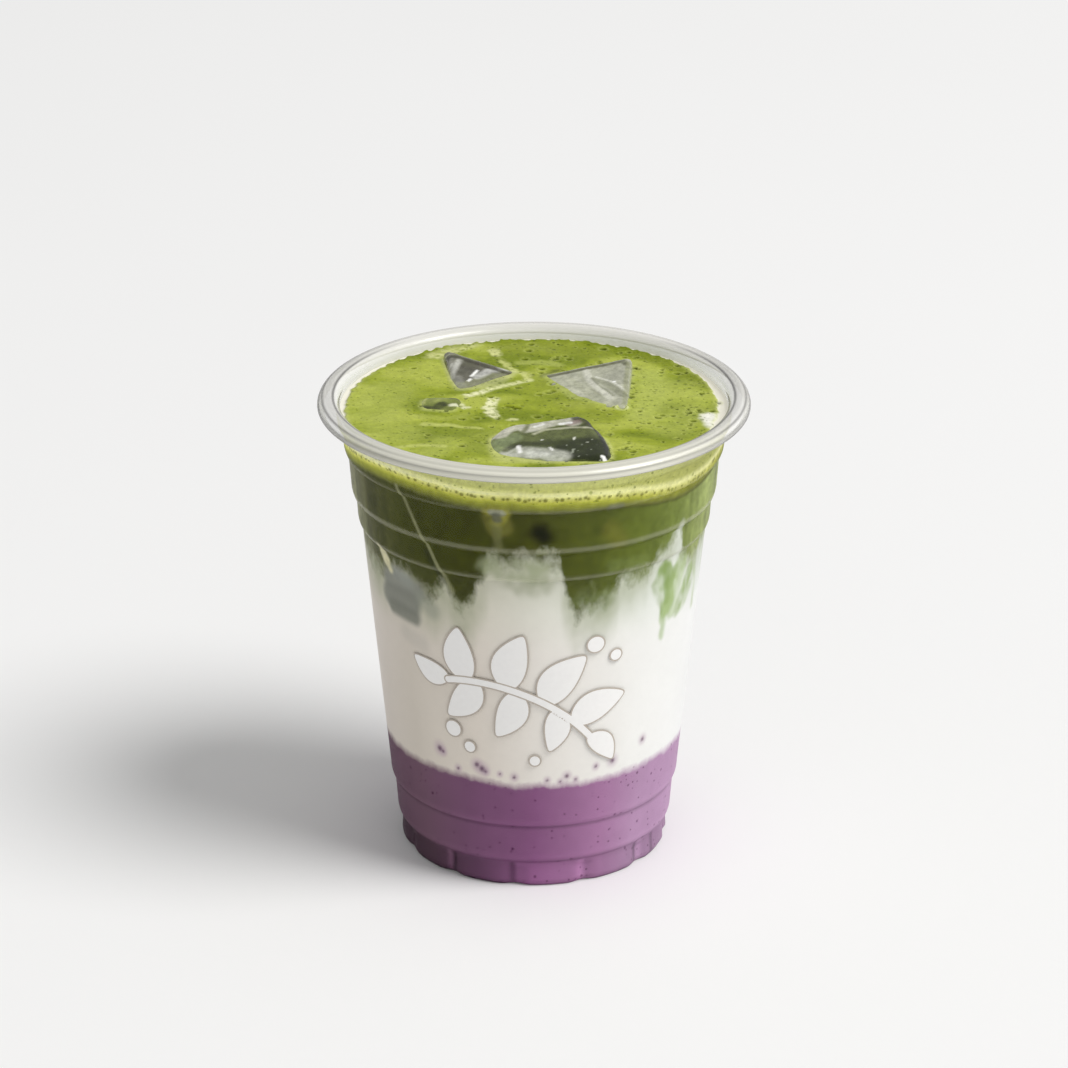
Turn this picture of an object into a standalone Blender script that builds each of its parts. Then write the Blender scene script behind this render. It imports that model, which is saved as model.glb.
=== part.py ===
"""Iced taro and matcha latte in a clear disposable cup.

The cup stands on its fluted foot at the origin, +Z up. The drink is four layers, one above
the other, and the ice floats at its surface. Azimuths are in degrees: 0 is the front (-Y)
and they grow towards +X. Lengths are in metres.
"""

import math
from collections import namedtuple

import bmesh
import bpy
from mathutils import Vector

# Driving dimensions of the cup
CUP_HEIGHT = 0.109
WALL = 0.0006
LIP_CENTRE_RADIUS = 0.04645
LIP_HALF_WIDTH = 0.00255
LIP_HALF_HEIGHT_ABOVE = 0.0018
LIP_HALF_HEIGHT_BELOW = 0.0010
NECK_TOP = (0.0443, 0.1060)

# Bands of the wall from the neck down: top radius, top height, low radius, low height.
# Each band rounds inwards at its lower edge and meets the top of the next.
BANDS = (
    (*NECK_TOP, 0.0441, 0.1030),
    (0.0437, 0.1024, 0.0432, 0.0990),
    (0.0422, 0.0966, 0.0416, 0.0892),
    (0.0405, 0.0862, 0.0402, 0.0818),
    (0.0393, 0.0794, 0.0334, 0.0188),
    (0.0325, 0.0163, 0.0319, 0.0089),
)
CORNER_STEPS = 3
INSIDE_CORNER_STEPS = 2
# Points of the wall closer than this are left out inside, and a sharp corner moves at most so far
LEAST_SPACING = 0.0011
MOST_STRETCH = 2.0

# Foot: the wall ends in lugs that stand on a flat ring, and the bottom is raised inside it
FOOT_TOP = (0.0307, 0.0063)
FLUTE_START = (0.03075, 0.0046)
FOOT_LOW = (0.0309, 0.0013)
FOOT_EDGE = (0.0303, 0.0003)
STANDING_RING_OUTER = 0.0298
STANDING_RING_INNER = 0.0276
BOTTOM_EDGE = (0.0258, 0.0022)
BOTTOM_HEIGHT = 0.0028

LUG_COUNT = 12
LUG_GROOVE_AZIMUTH = -8.0
GROOVE_DEPTH = 0.0009
GROOVE_HALF_WIDTH = 7.0
NOTCH_HEIGHT = 0.0007
NOTCH_INNER_RADIUS = 0.0278

SEGMENTS = 4 * LUG_COUNT
STEP_ANGLE = 360.0 / SEGMENTS

# Gap between pieces that touch, and the distance under which doubled points are one
GAP = 0.0003
MERGE_DISTANCE = 1e-7

# Levels of the drink
SURFACE_HEIGHT = 0.1060
FROTH_LOW_HEIGHT = 0.0995
MATCHA_LOW_HEIGHT = 0.0838
TARO_TOP_HEIGHT = 0.0284

# Swells of each boundary at the wall: azimuth, rise (downwards if negative), half width
FROTH_SWELLS = (
    (-48, 0.0018, 24),
    (52, -0.0026, 22),
    (110, 0.0012, 20),
    (150, -0.0016, 18),
    (-150, 0.0010, 20),
    (-105, -0.0014, 18),
)
MATCHA_FINGERS = (
    (-72, -0.0050, 7),
    (-52, -0.0062, 9),
    (-31, -0.0115, 8),
    (17, -0.0150, 8),
    (38, -0.0055, 5),
    (59, -0.0170, 13),
    (88, -0.0090, 8),
    (112, -0.0140, 9),
    (141, -0.0070, 9),
    (165, -0.0125, 8),
    (-168, -0.0150, 9),
    (-143, -0.0080, 8),
    (-119, -0.0130, 9),
    (-94, -0.0090, 7),
)
TARO_SWELLS = (
    (-20, 0.0004, 12),
    (0, -0.0012, 38),
    (90, -0.0008, 20),
    (-95, -0.0008, 20),
    (150, 0.0006, 25),
    (-150, -0.0010, 28),
)
# Inside the first radius a boundary is level, and from the second its swells are full
LEVEL_RADIUS = 0.020
FULL_SWELL_RADIUS = 0.033
SPACE_RADIUS = 0.048
SPACE_TOP = 0.120

# Ice: the highest corner, the three edges that leave it, the last one downwards, how far the
# opposite corner of the top stands out (0.5 makes a triangle), and the rounding of the edges
Block = namedtuple("Block", "corner along across down far_share rounding")
ICE = {
    "ice_front": Block(
        corner=(0.0175, -0.0098, 0.1099),
        along=(-0.0285, -0.0030, -0.0020),
        across=(0.0003, -0.0265, -0.0039),
        down=(0.0003, 0.0045, -0.0175),
        far_share=0.97,
        rounding=0.0048,
    ),
    "ice_back_left": Block(
        corner=(-0.0212, 0.0318, 0.1088),
        along=(0.0182, -0.0095, -0.0031),
        across=(0.0030, -0.0225, -0.0031),
        down=(-0.0008, -0.0010, -0.0180),
        far_share=0.66,
        rounding=0.0018,
    ),
    "ice_back_right": Block(
        corner=(0.0228, 0.0262, 0.1087),
        along=(-0.0218, -0.0059, -0.0032),
        across=(-0.0016, -0.0285, -0.0026),
        down=(0.0010, -0.0015, -0.0190),
        far_share=0.64,
        rounding=0.0015,
    ),
    "ice_small": Block(
        corner=(-0.0160, 0.0032, 0.1074),
        along=(-0.0095, 0.0010, -0.0003),
        across=(-0.0016, -0.0080, -0.0014),
        down=(-0.0010, 0.0006, -0.0140),
        far_share=0.92,
        rounding=0.0016,
    ),
}
ICE_ROUNDING_STEPS = 2

# Edges sharper than these angles, in degrees, stay sharp in the shading
CUP_SHARP_ANGLE = 40.0
ICE_SHARP_ANGLE = 35.0

# Colour, roughness, transmission
FINISHES = {
    "cup": ((0.86, 0.87, 0.86), 0.06, 0.85),
    "ice": ((0.80, 0.83, 0.80), 0.08, 0.60),
    "froth": ((0.38, 0.43, 0.085), 0.60, 0.0),
    "matcha_layer": ((0.115, 0.150, 0.030), 0.40, 0.0),
    "milk_layer": ((0.80, 0.78, 0.72), 0.35, 0.0),
    "taro_layer": ((0.235, 0.105, 0.205), 0.40, 0.0),
}


def remove_everything():
    for item in list(bpy.data.objects):
        bpy.data.objects.remove(item)


def material(name):
    """Principled material of one finish."""
    colour, roughness, transmission = FINISHES[name]
    made = bpy.data.materials.new(name)
    made.use_nodes = True
    shader = made.node_tree.nodes["Principled BSDF"]
    shader.inputs["Base Color"].default_value = (*colour, 1.0)
    shader.inputs["Roughness"].default_value = roughness
    shader.inputs["Metallic"].default_value = 0.0
    shader.inputs["Transmission Weight"].default_value = transmission
    return made


def add_object(name, mesh_source, finish=None):
    """Object from a bmesh, which is used up."""
    mesh = bpy.data.meshes.new(name)
    mesh_source.to_mesh(mesh)
    mesh_source.free()
    made = bpy.data.objects.new(name, mesh)
    bpy.context.scene.collection.objects.link(made)
    if finish:
        mesh.materials.append(finish)
    return made


def corner_arc(start, end, steps):
    """Points of a rounded lower corner, after its start: down first, then inwards."""
    points = []
    for step in range(1, steps + 1):
        angle = math.radians(90.0 * step / steps)
        radius = end[0] + (start[0] - end[0]) * math.cos(angle)
        height = end[1] + (start[1] - end[1]) * (1.0 - math.sin(angle))
        points.append((radius, height))
    return points


def wall_profile(corner_steps):
    """Outer wall from the neck down to the foot's flat ring, and in to the axis."""
    points = [NECK_TOP]
    next_tops = [band[:2] for band in BANDS[1:]] + [FOOT_TOP]
    for band, next_top in zip(BANDS, next_tops):
        low = band[2:]
        points.append(low)
        points += corner_arc(low, next_top, corner_steps)
    points += [FLUTE_START, FOOT_LOW, FOOT_EDGE]
    points += [(STANDING_RING_OUTER, 0.0), (STANDING_RING_INNER, 0.0)]
    points += [BOTTOM_EDGE, (0.0, BOTTOM_HEIGHT)]
    return points


def lip_profile():
    """Rolled lip from the inner wall over the top and down to the neck outside."""
    points = []
    centre_height = CUP_HEIGHT - LIP_HALF_HEIGHT_ABOVE
    for angle in (180, 145, 115, 90, 65, 35, 0, -35, -75):
        turn = math.radians(angle)
        half_height = LIP_HALF_HEIGHT_ABOVE if angle > 0 else LIP_HALF_HEIGHT_BELOW
        radius = LIP_CENTRE_RADIUS + LIP_HALF_WIDTH * math.cos(turn)
        points.append((radius, centre_height + half_height * math.sin(turn)))
    return points


def spaced(points, least):
    """Points of a profile that stand at least so far from the one before."""
    kept = [points[0]]
    for point in points[1:]:
        if math.dist(point, kept[-1]) >= least:
            kept.append(point)
    return kept


def offset_profile(points, distance):
    """Profile moved inwards, with the points left out that stand too close for the move."""
    points = spaced(points, LEAST_SPACING)
    moved = []
    for index, point in enumerate(points):
        here = Vector(point)
        before = Vector(points[max(index - 1, 0)])
        after = Vector(points[min(index + 1, len(points) - 1)])
        normals = []
        for run in (here - before, after - here):
            if run.length > 0.0:
                normals.append(Vector((run.y, -run.x)).normalized())
        normal = sum(normals, Vector((0.0, 0.0))).normalized()
        stretch = min(1.0 / normal.dot(normals[0]), MOST_STRETCH)
        moved.append(tuple(here + normal * distance * stretch))
    moved[-1] = (0.0, moved[-1][1])
    return moved


def spin_profile(points, start_azimuth):
    """Closed surface turned round the Z axis from a profile whose ends lie on the axis."""
    turned = bmesh.new()
    heading = math.radians(start_azimuth)
    ring = [
        turned.verts.new((radius * math.sin(heading), -radius * math.cos(heading), height))
        for radius, height in points
    ]
    edges = [turned.edges.new(pair) for pair in zip(ring, ring[1:])]
    bmesh.ops.spin(
        turned,
        geom=ring + edges,
        cent=(0.0, 0.0, 0.0),
        axis=(0.0, 0.0, 1.0),
        dvec=(0.0, 0.0, 0.0),
        angle=math.tau,
        steps=SEGMENTS,
        use_merge=False,
    )
    bmesh.ops.remove_doubles(turned, verts=turned.verts, dist=MERGE_DISTANCE)
    bmesh.ops.recalc_face_normals(turned, faces=turned.faces)
    return turned


def azimuth_of(x, y):
    return math.degrees(math.atan2(x, -y))


def turn_between(azimuth, other):
    """Smallest turn from one azimuth to another, without its sign."""
    return abs((azimuth - other + 180.0) % 360.0 - 180.0)


def groove_at(azimuth):
    """One in the middle of a groove between two lugs, zero on a lug."""
    spacing = 360.0 / LUG_COUNT
    turn = (azimuth - LUG_GROOVE_AZIMUTH + spacing / 2) % spacing - spacing / 2
    return max(0.0, 1.0 - abs(turn) / GROOVE_HALF_WIDTH)


def flute_foot(turned):
    """Press the grooves between the lugs into the foot and notch its lower edge."""
    for vert in turned.verts:
        radius = math.hypot(vert.co.x, vert.co.y)
        if vert.co.z > FLUTE_START[1] + WALL or radius < NOTCH_INNER_RADIUS - WALL:
            continue
        groove = groove_at(azimuth_of(vert.co.x, vert.co.y))
        outwards = (radius - NOTCH_INNER_RADIUS) / (STANDING_RING_OUTER - NOTCH_INNER_RADIUS)
        share = min(max(outwards, 0.0), 1.0)
        scale = 1.0 - GROOVE_DEPTH * groove * share / radius
        vert.co.x *= scale
        vert.co.y *= scale
        if vert.co.z < FLUTE_START[1] / 2:
            vert.co.z += NOTCH_HEIGHT * groove * share
    bmesh.ops.triangulate(turned, faces=turned.faces, quad_method="SHORT_EDGE")


def build_cup():
    """Thin wall with its rolled lip, bands and fluted foot."""
    inner = offset_profile(wall_profile(INSIDE_CORNER_STEPS), WALL)
    section = inner[::-1] + lip_profile() + wall_profile(CORNER_STEPS)
    turned = spin_profile(section, LUG_GROOVE_AZIMUTH)
    flute_foot(turned)
    cup = add_object("cup", turned, material("cup"))
    cup.data.shade_smooth()
    cup.data.set_sharp_from_angle(angle=math.radians(CUP_SHARP_ANGLE))


def swell_at(azimuth, swells):
    return sum(
        rise * math.exp(-((turn_between(azimuth, centre) / half_width) ** 2))
        for centre, rise, half_width in swells
    )


def boundary(level, swells):
    """Height of a boundary as a function of azimuth and radius."""

    def height(azimuth, radius):
        share = (radius - LEVEL_RADIUS) / (FULL_SWELL_RADIUS - LEVEL_RADIUS)
        return level + min(max(share, 0.0), 1.0) * swell_at(azimuth, swells)

    return height


def hide_cutter(cutter):
    cutter.hide_render = True
    cutter.display_type = "WIRE"


def build_space_above(name, level, swells):
    """Everything in the cup above one boundary, wider than the cup."""
    height = boundary(level, swells)
    radii = (LEVEL_RADIUS, FULL_SWELL_RADIUS, SPACE_RADIUS)
    above = [(0.0, SPACE_TOP), (SPACE_RADIUS, SPACE_TOP)]
    below = [(radius, 0.0) for radius in reversed(radii)] + [(0.0, 0.0)]
    turned = spin_profile(above + below, LUG_GROOVE_AZIMUTH + STEP_ANGLE / 2)
    for vert in turned.verts:
        if vert.co.z < SPACE_TOP / 2:
            radius = math.hypot(vert.co.x, vert.co.y)
            vert.co.z = height(azimuth_of(vert.co.x, vert.co.y), radius)
    bmesh.ops.triangulate(turned, faces=turned.faces)
    space = add_object(name, turned)
    hide_cutter(space)
    return space


def lowered(space):
    """Copy of a space that lies lower by the gap between two layers."""
    copy = bpy.data.objects.new(space.name + "_lowered", space.data)
    copy.location.z = -GAP
    bpy.context.scene.collection.objects.link(copy)
    hide_cutter(copy)
    return copy


def ice_mesh(name, grown):
    """Block with a sheared top and rounded edges, larger all round by the given amount."""
    sizes = ICE[name]
    corner, along, across, down = (Vector(item) for item in sizes[:4])
    block = bmesh.new()
    bmesh.ops.create_cube(block, size=2.0)
    for vert in block.verts:
        on_along, on_across, on_down = (side > 0.0 for side in vert.co)
        share = sizes.far_share if on_along and on_across else 1.0
        vert.co = corner + share * (on_along * along + on_across * across) + on_down * down
    block.normal_update()
    bmesh.ops.recalc_face_normals(block, faces=block.faces)
    bmesh.ops.bevel(
        block,
        geom=block.edges,
        offset=sizes.rounding,
        segments=ICE_ROUNDING_STEPS,
        profile=0.5,
        affect="EDGES",
    )
    block.normal_update()
    for vert, move in [(v, v.normal * grown * v.calc_shell_factor()) for v in block.verts]:
        vert.co += move
    return block


def build_ice(finish):
    """The ice pieces, and a collection of slightly larger ones that cut the layers."""
    cutters = bpy.data.collections.new("ice_cutters")
    bpy.context.scene.collection.children.link(cutters)
    for name in ICE:
        piece = add_object(name, ice_mesh(name, 0.0), finish)
        piece.data.shade_smooth()
        piece.data.set_sharp_from_angle(angle=math.radians(ICE_SHARP_ANGLE))
        cutter = add_object(name + "_cutter", ice_mesh(name, GAP))
        hide_cutter(cutter)
        bpy.context.scene.collection.objects.unlink(cutter)
        cutters.objects.link(cutter)
    return cutters


def cut_layer(layer, label, operation, cutter):
    cut = layer.modifiers.new(label, "BOOLEAN")
    cut.operation = operation
    cut.solver = "EXACT"
    if isinstance(cutter, bpy.types.Collection):
        cut.operand_type = "COLLECTION"
        cut.collection = cutter
    else:
        cut.object = cutter


def build_layer(name, space=None, space_over=None, ice_cutters=None):
    """One layer of the drink: the cup's inside above one boundary and below the next."""
    inside = offset_profile(wall_profile(INSIDE_CORNER_STEPS), WALL + GAP)
    surface = [(0.0, SURFACE_HEIGHT), (inside[0][0], SURFACE_HEIGHT)]
    turned = spin_profile(surface + inside[1:], LUG_GROOVE_AZIMUTH)
    flute_foot(turned)
    layer = add_object(name, turned, material(name))
    if space:
        cut_layer(layer, "above_its_boundary", "INTERSECT", space)
    if space_over:
        cut_layer(layer, "under_the_next", "DIFFERENCE", lowered(space_over))
    if ice_cutters:
        cut_layer(layer, "round_the_ice", "DIFFERENCE", ice_cutters)


def main():
    remove_everything()
    build_cup()
    ice_cutters = build_ice(material("ice"))
    over_matcha = build_space_above("over_matcha", FROTH_LOW_HEIGHT, FROTH_SWELLS)
    over_milk = build_space_above("over_milk", MATCHA_LOW_HEIGHT, MATCHA_FINGERS)
    over_taro = build_space_above("over_taro", TARO_TOP_HEIGHT, TARO_SWELLS)
    build_layer("froth", over_matcha, None, ice_cutters)
    build_layer("matcha_layer", over_milk, over_matcha, ice_cutters)
    build_layer("milk_layer", over_taro, over_milk)
    build_layer("taro_layer", None, over_taro)


main()
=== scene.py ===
"""Looks of an iced taro and matcha latte in a clear disposable cup.

Azimuths are in degrees: 0 is the front (-Y) and they grow towards +X. Lengths are in metres.
Strokes are painted in millimetres: on the surface by x and y, and round the wall by azimuth
and height. Colours are written as they show on a screen, from 0 to 255.
"""

import math
import random
from collections import namedtuple

import bpy
import numpy as np
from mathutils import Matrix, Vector, noise
from mathutils.bvhtree import BVHTree


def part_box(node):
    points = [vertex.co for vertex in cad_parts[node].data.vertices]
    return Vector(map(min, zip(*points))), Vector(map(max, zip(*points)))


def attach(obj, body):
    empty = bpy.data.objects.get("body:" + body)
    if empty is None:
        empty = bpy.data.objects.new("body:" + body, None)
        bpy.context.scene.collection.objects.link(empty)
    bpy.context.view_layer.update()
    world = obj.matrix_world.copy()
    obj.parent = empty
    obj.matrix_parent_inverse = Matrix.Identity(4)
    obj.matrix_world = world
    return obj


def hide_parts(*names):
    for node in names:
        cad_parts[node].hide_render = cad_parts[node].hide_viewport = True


bl_info = {
    "name": "Iced Latte",
    "version": (1, 0, 0),
    "blender": (4, 5, 0),
    "location": "3D View > Sidebar > Latte",
    "description": "Clear cup, layered drink with foam, wet ice and a printed sprig",
    "category": "Add Mesh",
}

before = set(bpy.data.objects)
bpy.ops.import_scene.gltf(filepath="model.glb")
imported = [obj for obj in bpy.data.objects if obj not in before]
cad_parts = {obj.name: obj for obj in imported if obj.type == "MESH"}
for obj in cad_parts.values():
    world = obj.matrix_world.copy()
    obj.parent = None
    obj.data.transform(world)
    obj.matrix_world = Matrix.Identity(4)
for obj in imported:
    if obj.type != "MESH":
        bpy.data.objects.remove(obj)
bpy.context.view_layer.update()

MM = 0.001
FULL_TURN = 360.0

# Bands of the cup's wall: top radius, top height, low radius, low height
NECK_TOP = (0.0443, 0.1060)
BANDS = (
    (*NECK_TOP, 0.0441, 0.1030),
    (0.0437, 0.1024, 0.0432, 0.0990),
    (0.0422, 0.0966, 0.0416, 0.0892),
    (0.0405, 0.0862, 0.0402, 0.0818),
    (0.0393, 0.0794, 0.0334, 0.0188),
    (0.0325, 0.0163, 0.0319, 0.0089),
)
FOOT_TOP = (0.0307, 0.0063)
FLUTE_START = (0.03075, 0.0046)
FOOT_LOW = (0.0309, 0.0013)
FOOT_EDGE = (0.0303, 0.0003)
STANDING_RING = (0.0298, 0.0276)
BOTTOM_EDGE = (0.0258, 0.0022)
BOTTOM_HEIGHT = 0.0028
# Points of the profile inside the foot's outer edge
STANDING_POINTS = 4
# Steps round the corners of the bands, on the cup and on the drink
CUP_CORNER_STEPS = 7
DRINK_CORNER_STEPS = 8

# Grooves between the lugs of the foot
LUG_COUNT = 12
LUG_GROOVE_AZIMUTH = -8.0
GROOVE_DEPTH = 0.0006
GROOVE_HALF_WIDTH = 7.0
NOTCH_HEIGHT = 0.0002
NOTCH_INNER_RADIUS = 0.0278

# Boundaries of the layers: level, then azimuth, rise and half width of each swell at the wall
SURFACE_HEIGHT = 0.1060
FROTH_LOW = 0.0995
FROTH_SWELLS = (
    (-48, 0.0018, 24),
    (52, -0.0026, 22),
    (110, 0.0012, 20),
    (150, -0.0016, 18),
    (-150, 0.0010, 20),
    (-105, -0.0014, 18),
)
MATCHA_LOW = 0.0838
MATCHA_FINGERS = (
    (-72, -0.0050, 7),
    (-52, -0.0062, 9),
    (-31, -0.0115, 8),
    (17, -0.0150, 8),
    (38, -0.0055, 5),
    (59, -0.0170, 13),
    (88, -0.0090, 8),
    (112, -0.0140, 9),
    (141, -0.0070, 9),
    (165, -0.0125, 8),
    (-168, -0.0150, 9),
    (-143, -0.0080, 8),
    (-119, -0.0130, 9),
    (-94, -0.0090, 7),
)
TARO_TOP = 0.0284
TARO_SWELLS = (
    (-20, 0.0004, 12),
    (0, -0.0012, 38),
    (90, -0.0008, 20),
    (-95, -0.0008, 20),
    (150, 0.0006, 25),
    (-150, -0.0010, 28),
)
LEVEL_RADIUS = 0.020
FULL_SWELL_RADIUS = 0.033
AT_THE_WALL = 0.048
# Heights of the layers from which the number of their rows follows
MATCHA_HEIGHT = 0.030
MILK_HEIGHT = 0.056
TARO_HEIGHT = 0.028

# Ice: highest corner, the edges that leave it, how far the opposite corner stands out, rounding
Block = namedtuple("Block", "corner along across down far_share rounding")
ICE = {
    "ice_front": Block(
        corner=(0.0175, -0.0098, 0.1099),
        along=(-0.0295, -0.0030, -0.0020),
        across=(0.0003, -0.0265, -0.0031),
        down=(0.0003, 0.0045, -0.0175),
        far_share=0.97,
        rounding=0.0042,
    ),
    "ice_back_left": Block(
        corner=(-0.0212, 0.0318, 0.1088),
        along=(0.0182, -0.0095, -0.0027),
        across=(0.0030, -0.0225, -0.0026),
        down=(-0.0008, -0.0010, -0.0180),
        far_share=0.66,
        rounding=0.0018,
    ),
    "ice_back_right": Block(
        corner=(0.0228, 0.0262, 0.1087),
        along=(-0.0218, -0.0059, -0.0026),
        across=(-0.0016, -0.0285, -0.0021),
        down=(0.0010, -0.0015, -0.0190),
        far_share=0.64,
        rounding=0.0015,
    ),
    "ice_small": Block(
        corner=(-0.0160, 0.0032, 0.1074),
        along=(-0.0095, 0.0010, -0.0003),
        across=(-0.0016, -0.0080, -0.0014),
        down=(-0.0010, 0.0006, -0.0140),
        far_share=0.92,
        rounding=0.0016,
    ),
}

# Melted outline of the front ice: y, left and right, in millimetres, and its sides before
FRONT_OUTLINE = (
    (-38, -10.4, 16.8),
    (-31.4, -10.0, 16.2),
    (-26.4, -9.8, 15.6),
    (-23, -9.5, 14.9),
    (-20, -8.6, 13.9),
    (-18, -7.2, 12.9),
    (-16, -5.0, 12.2),
    (-14, -2.2, 10.8),
    (-12, -1.2, 9.8),
)
FRONT_SIDES = (-9.4, 15.7)
# The far edge is melted back by this many millimetres
FRONT_MELT = 1.6

# A stroke of paint: the points of its line, half width, soft edge, colour and strength
Stroke = namedtuple("Stroke", "points width soft colour strength")


def linear(colour):
    """Linear colour from one as it shows on a screen."""
    shares = [value / 255.0 for value in colour]
    return tuple(s / 12.92 if s <= 0.04045 else ((s + 0.055) / 1.055) ** 2.4 for s in shares)


def ease(share):
    """From 0 to 1 with soft ends."""
    share = np.clip(share, 0.0, 1.0)
    return share * share * (3.0 - 2.0 * share)


def bell(value, width):
    """One where a value is zero, and near zero at twice a width from there."""
    return np.exp(-((value / width) ** 2))


def turn_between(azimuth, other):
    """Smallest turn from one azimuth to another, without its sign."""
    return np.abs((azimuth - other + FULL_TURN / 2) % FULL_TURN - FULL_TURN / 2)


def azimuth_of(places):
    """Azimuth of each place."""
    return np.degrees(np.arctan2(places[:, 0], -places[:, 1]))


def distance_to_line(points, u, v):
    """Distance of the places (u, v) to the line through some points."""
    nearest = np.full(u.shape, np.inf)
    for (x0, y0), (x1, y1) in zip(points, points[1:] or points):
        dx = x1 - x0
        dy = y1 - y0
        length = max(dx * dx + dy * dy, 1e-9)
        share = np.clip(((u - x0) * dx + (v - y0) * dy) / length, 0.0, 1.0)
        nearest = np.minimum(nearest, np.hypot(u - x0 - share * dx, v - y0 - share * dy))
    return nearest


def lay_over(colours, share, colour):
    """Lay a screen colour over others, by its share at each of them."""
    colours += share[:, None] * (np.array(linear(colour)) - colours)


def brush(colours, strokes, u, v, cover=1.0):
    """Paint strokes over the colours of the places (u, v), as far as they are covered."""
    for stroke in strokes:
        away = distance_to_line(stroke.points, u, v)
        share = cover * stroke.strength * (1.0 - ease((away - stroke.width) / stroke.soft))
        lay_over(colours, share, stroke.colour)


def grain(places, size, shift=0.0):
    """Smooth noise from about -1 to 1 at some places, as coarse as the given size."""
    moved = places / np.array(size) + shift
    return np.array([noise.noise(Vector(place)) for place in moved])


# Shape of the cup's wall


def corner_arc(start, end, steps):
    """Points of a rounded lower corner, after its start: down first, then inwards."""
    points = []
    for step in range(1, steps + 1):
        angle = math.radians(90.0 * step / steps)
        radius = end[0] + (start[0] - end[0]) * math.cos(angle)
        height = end[1] + (start[1] - end[1]) * (1.0 - math.sin(angle))
        points.append((radius, height))
    return points


def wall_profile(corner_steps):
    """Outer wall from the neck down to the foot's flat ring, and in towards the axis."""
    points = [NECK_TOP]
    next_tops = [band[:2] for band in BANDS[1:]] + [FOOT_TOP]
    for band, next_top in zip(BANDS, next_tops):
        low = band[2:]
        points.append(low)
        points += corner_arc(low, next_top, corner_steps)
    points += [FLUTE_START, FOOT_LOW, FOOT_EDGE]
    points += [(radius, 0.0) for radius in STANDING_RING]
    points += [BOTTOM_EDGE, (0.0, BOTTOM_HEIGHT)]
    return points


def groove_at(azimuth):
    """One in the middle of a groove between two lugs, zero on a lug."""
    spacing = FULL_TURN / LUG_COUNT
    turn = (azimuth - LUG_GROOVE_AZIMUTH + spacing / 2) % spacing - spacing / 2
    return ease(1.0 - np.abs(turn) / GROOVE_HALF_WIDTH)


def flute(places):
    """Press the grooves between the lugs into places on the foot."""
    radius = np.hypot(places[:, 0], places[:, 1])
    groove = groove_at(azimuth_of(places))
    outwards = (radius - NOTCH_INNER_RADIUS) / (STANDING_RING[0] - NOTCH_INNER_RADIUS)
    fade = ease((FLUTE_START[1] + MM - places[:, 2]) / MM)
    share = np.clip(outwards, 0.0, 1.0) * groove * fade
    places[:, :2] *= (1.0 - GROOVE_DEPTH * share / np.maximum(radius, MM))[:, None]
    places[:, 2] += NOTCH_HEIGHT * share * (places[:, 2] < FLUTE_START[1] / 2)


def drink_profile(depth):
    """The wall's profile moved inwards by a depth, as arrays of radius and height."""
    points = np.array(wall_profile(DRINK_CORNER_STEPS))
    runs = np.diff(points, axis=0)
    runs = np.vstack([runs[:1], runs, runs[-1:]])
    normals = np.stack([runs[:, 1], -runs[:, 0]], 1)
    normals /= np.linalg.norm(normals, axis=1)[:, None]
    bisectors = normals[:-1] + normals[1:]
    bisectors /= np.linalg.norm(bisectors, axis=1)[:, None]
    moved = points + bisectors * depth
    moved[-1, 0] = 0.0
    return moved


def boundary(level, swells):
    """Height of a boundary as a function of azimuth and radius."""

    def height(azimuth, radius=AT_THE_WALL):
        share = np.clip(
            (radius - LEVEL_RADIUS) / (FULL_SWELL_RADIUS - LEVEL_RADIUS), 0.0, 1.0
        )
        swell = sum(
            rise * bell(turn_between(azimuth, centre), half_width)
            for centre, rise, half_width in swells
        )
        return level + share * swell

    return height


FROTH_BOUNDARY = boundary(FROTH_LOW, FROTH_SWELLS)
MATCHA_BOUNDARY = boundary(MATCHA_LOW, MATCHA_FINGERS)
TARO_BOUNDARY = boundary(TARO_TOP, TARO_SWELLS)


# Work on pieces


def deselect():
    """Leave no piece selected."""
    bpy.ops.object.select_all(action="DESELECT")


def named(name):
    """The new object, with a name of its own."""
    piece = bpy.context.object
    piece.name = name
    piece.data.name = name
    return piece


def pick(piece):
    """Select one piece alone and make it the active one."""
    deselect()
    piece.select_set(True)
    bpy.context.view_layer.objects.active = piece


def edit(piece):
    """Go into edit mode with everything selected."""
    pick(piece)
    bpy.ops.object.mode_set(mode="EDIT")
    bpy.ops.mesh.select_all(action="SELECT")


def leave():
    """Go back to object mode."""
    bpy.ops.object.mode_set(mode="OBJECT")


def set_place(piece):
    """Put the object's place in its mesh."""
    pick(piece)
    bpy.ops.object.transform_apply(location=True, rotation=True, scale=True)


def places_of(piece):
    """Places of a piece's points, one row each."""
    places = np.empty(len(piece.data.vertices) * 3, np.float32)
    piece.data.vertices.foreach_get("co", places)
    return places.reshape(-1, 3).astype(float)


def normals_of(piece):
    """Normals at a piece's points, one row each."""
    normals = np.empty(len(piece.data.vertices) * 3, np.float32)
    piece.data.vertices.foreach_get("normal", normals)
    return normals.reshape(-1, 3).astype(float)


def move_to(piece, places):
    """Move a piece's points to new places."""
    piece.data.vertices.foreach_set("co", places.astype(np.float32).ravel())
    piece.data.update()


def merge_and_turn_out(piece, distance=1e-6):
    """Merge doubled points and point all the faces outwards."""
    edit(piece)
    bpy.ops.mesh.remove_doubles(threshold=distance)
    bpy.ops.mesh.normals_make_consistent(inside=False)
    leave()


def apply_modifier(piece, kind, **settings):
    """Add a modifier with its settings and apply it."""
    pick(piece)
    modifier = piece.modifiers.new(kind.title(), kind)
    for setting, value in settings.items():
        setattr(modifier, setting, value)
    bpy.ops.object.modifier_apply(modifier=modifier.name)


def smooth(piece, angle):
    """Shade a piece smooth, except over edges sharper than an angle in degrees."""
    pick(piece)
    bpy.ops.object.shade_smooth_by_angle(angle=math.radians(angle))


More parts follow.
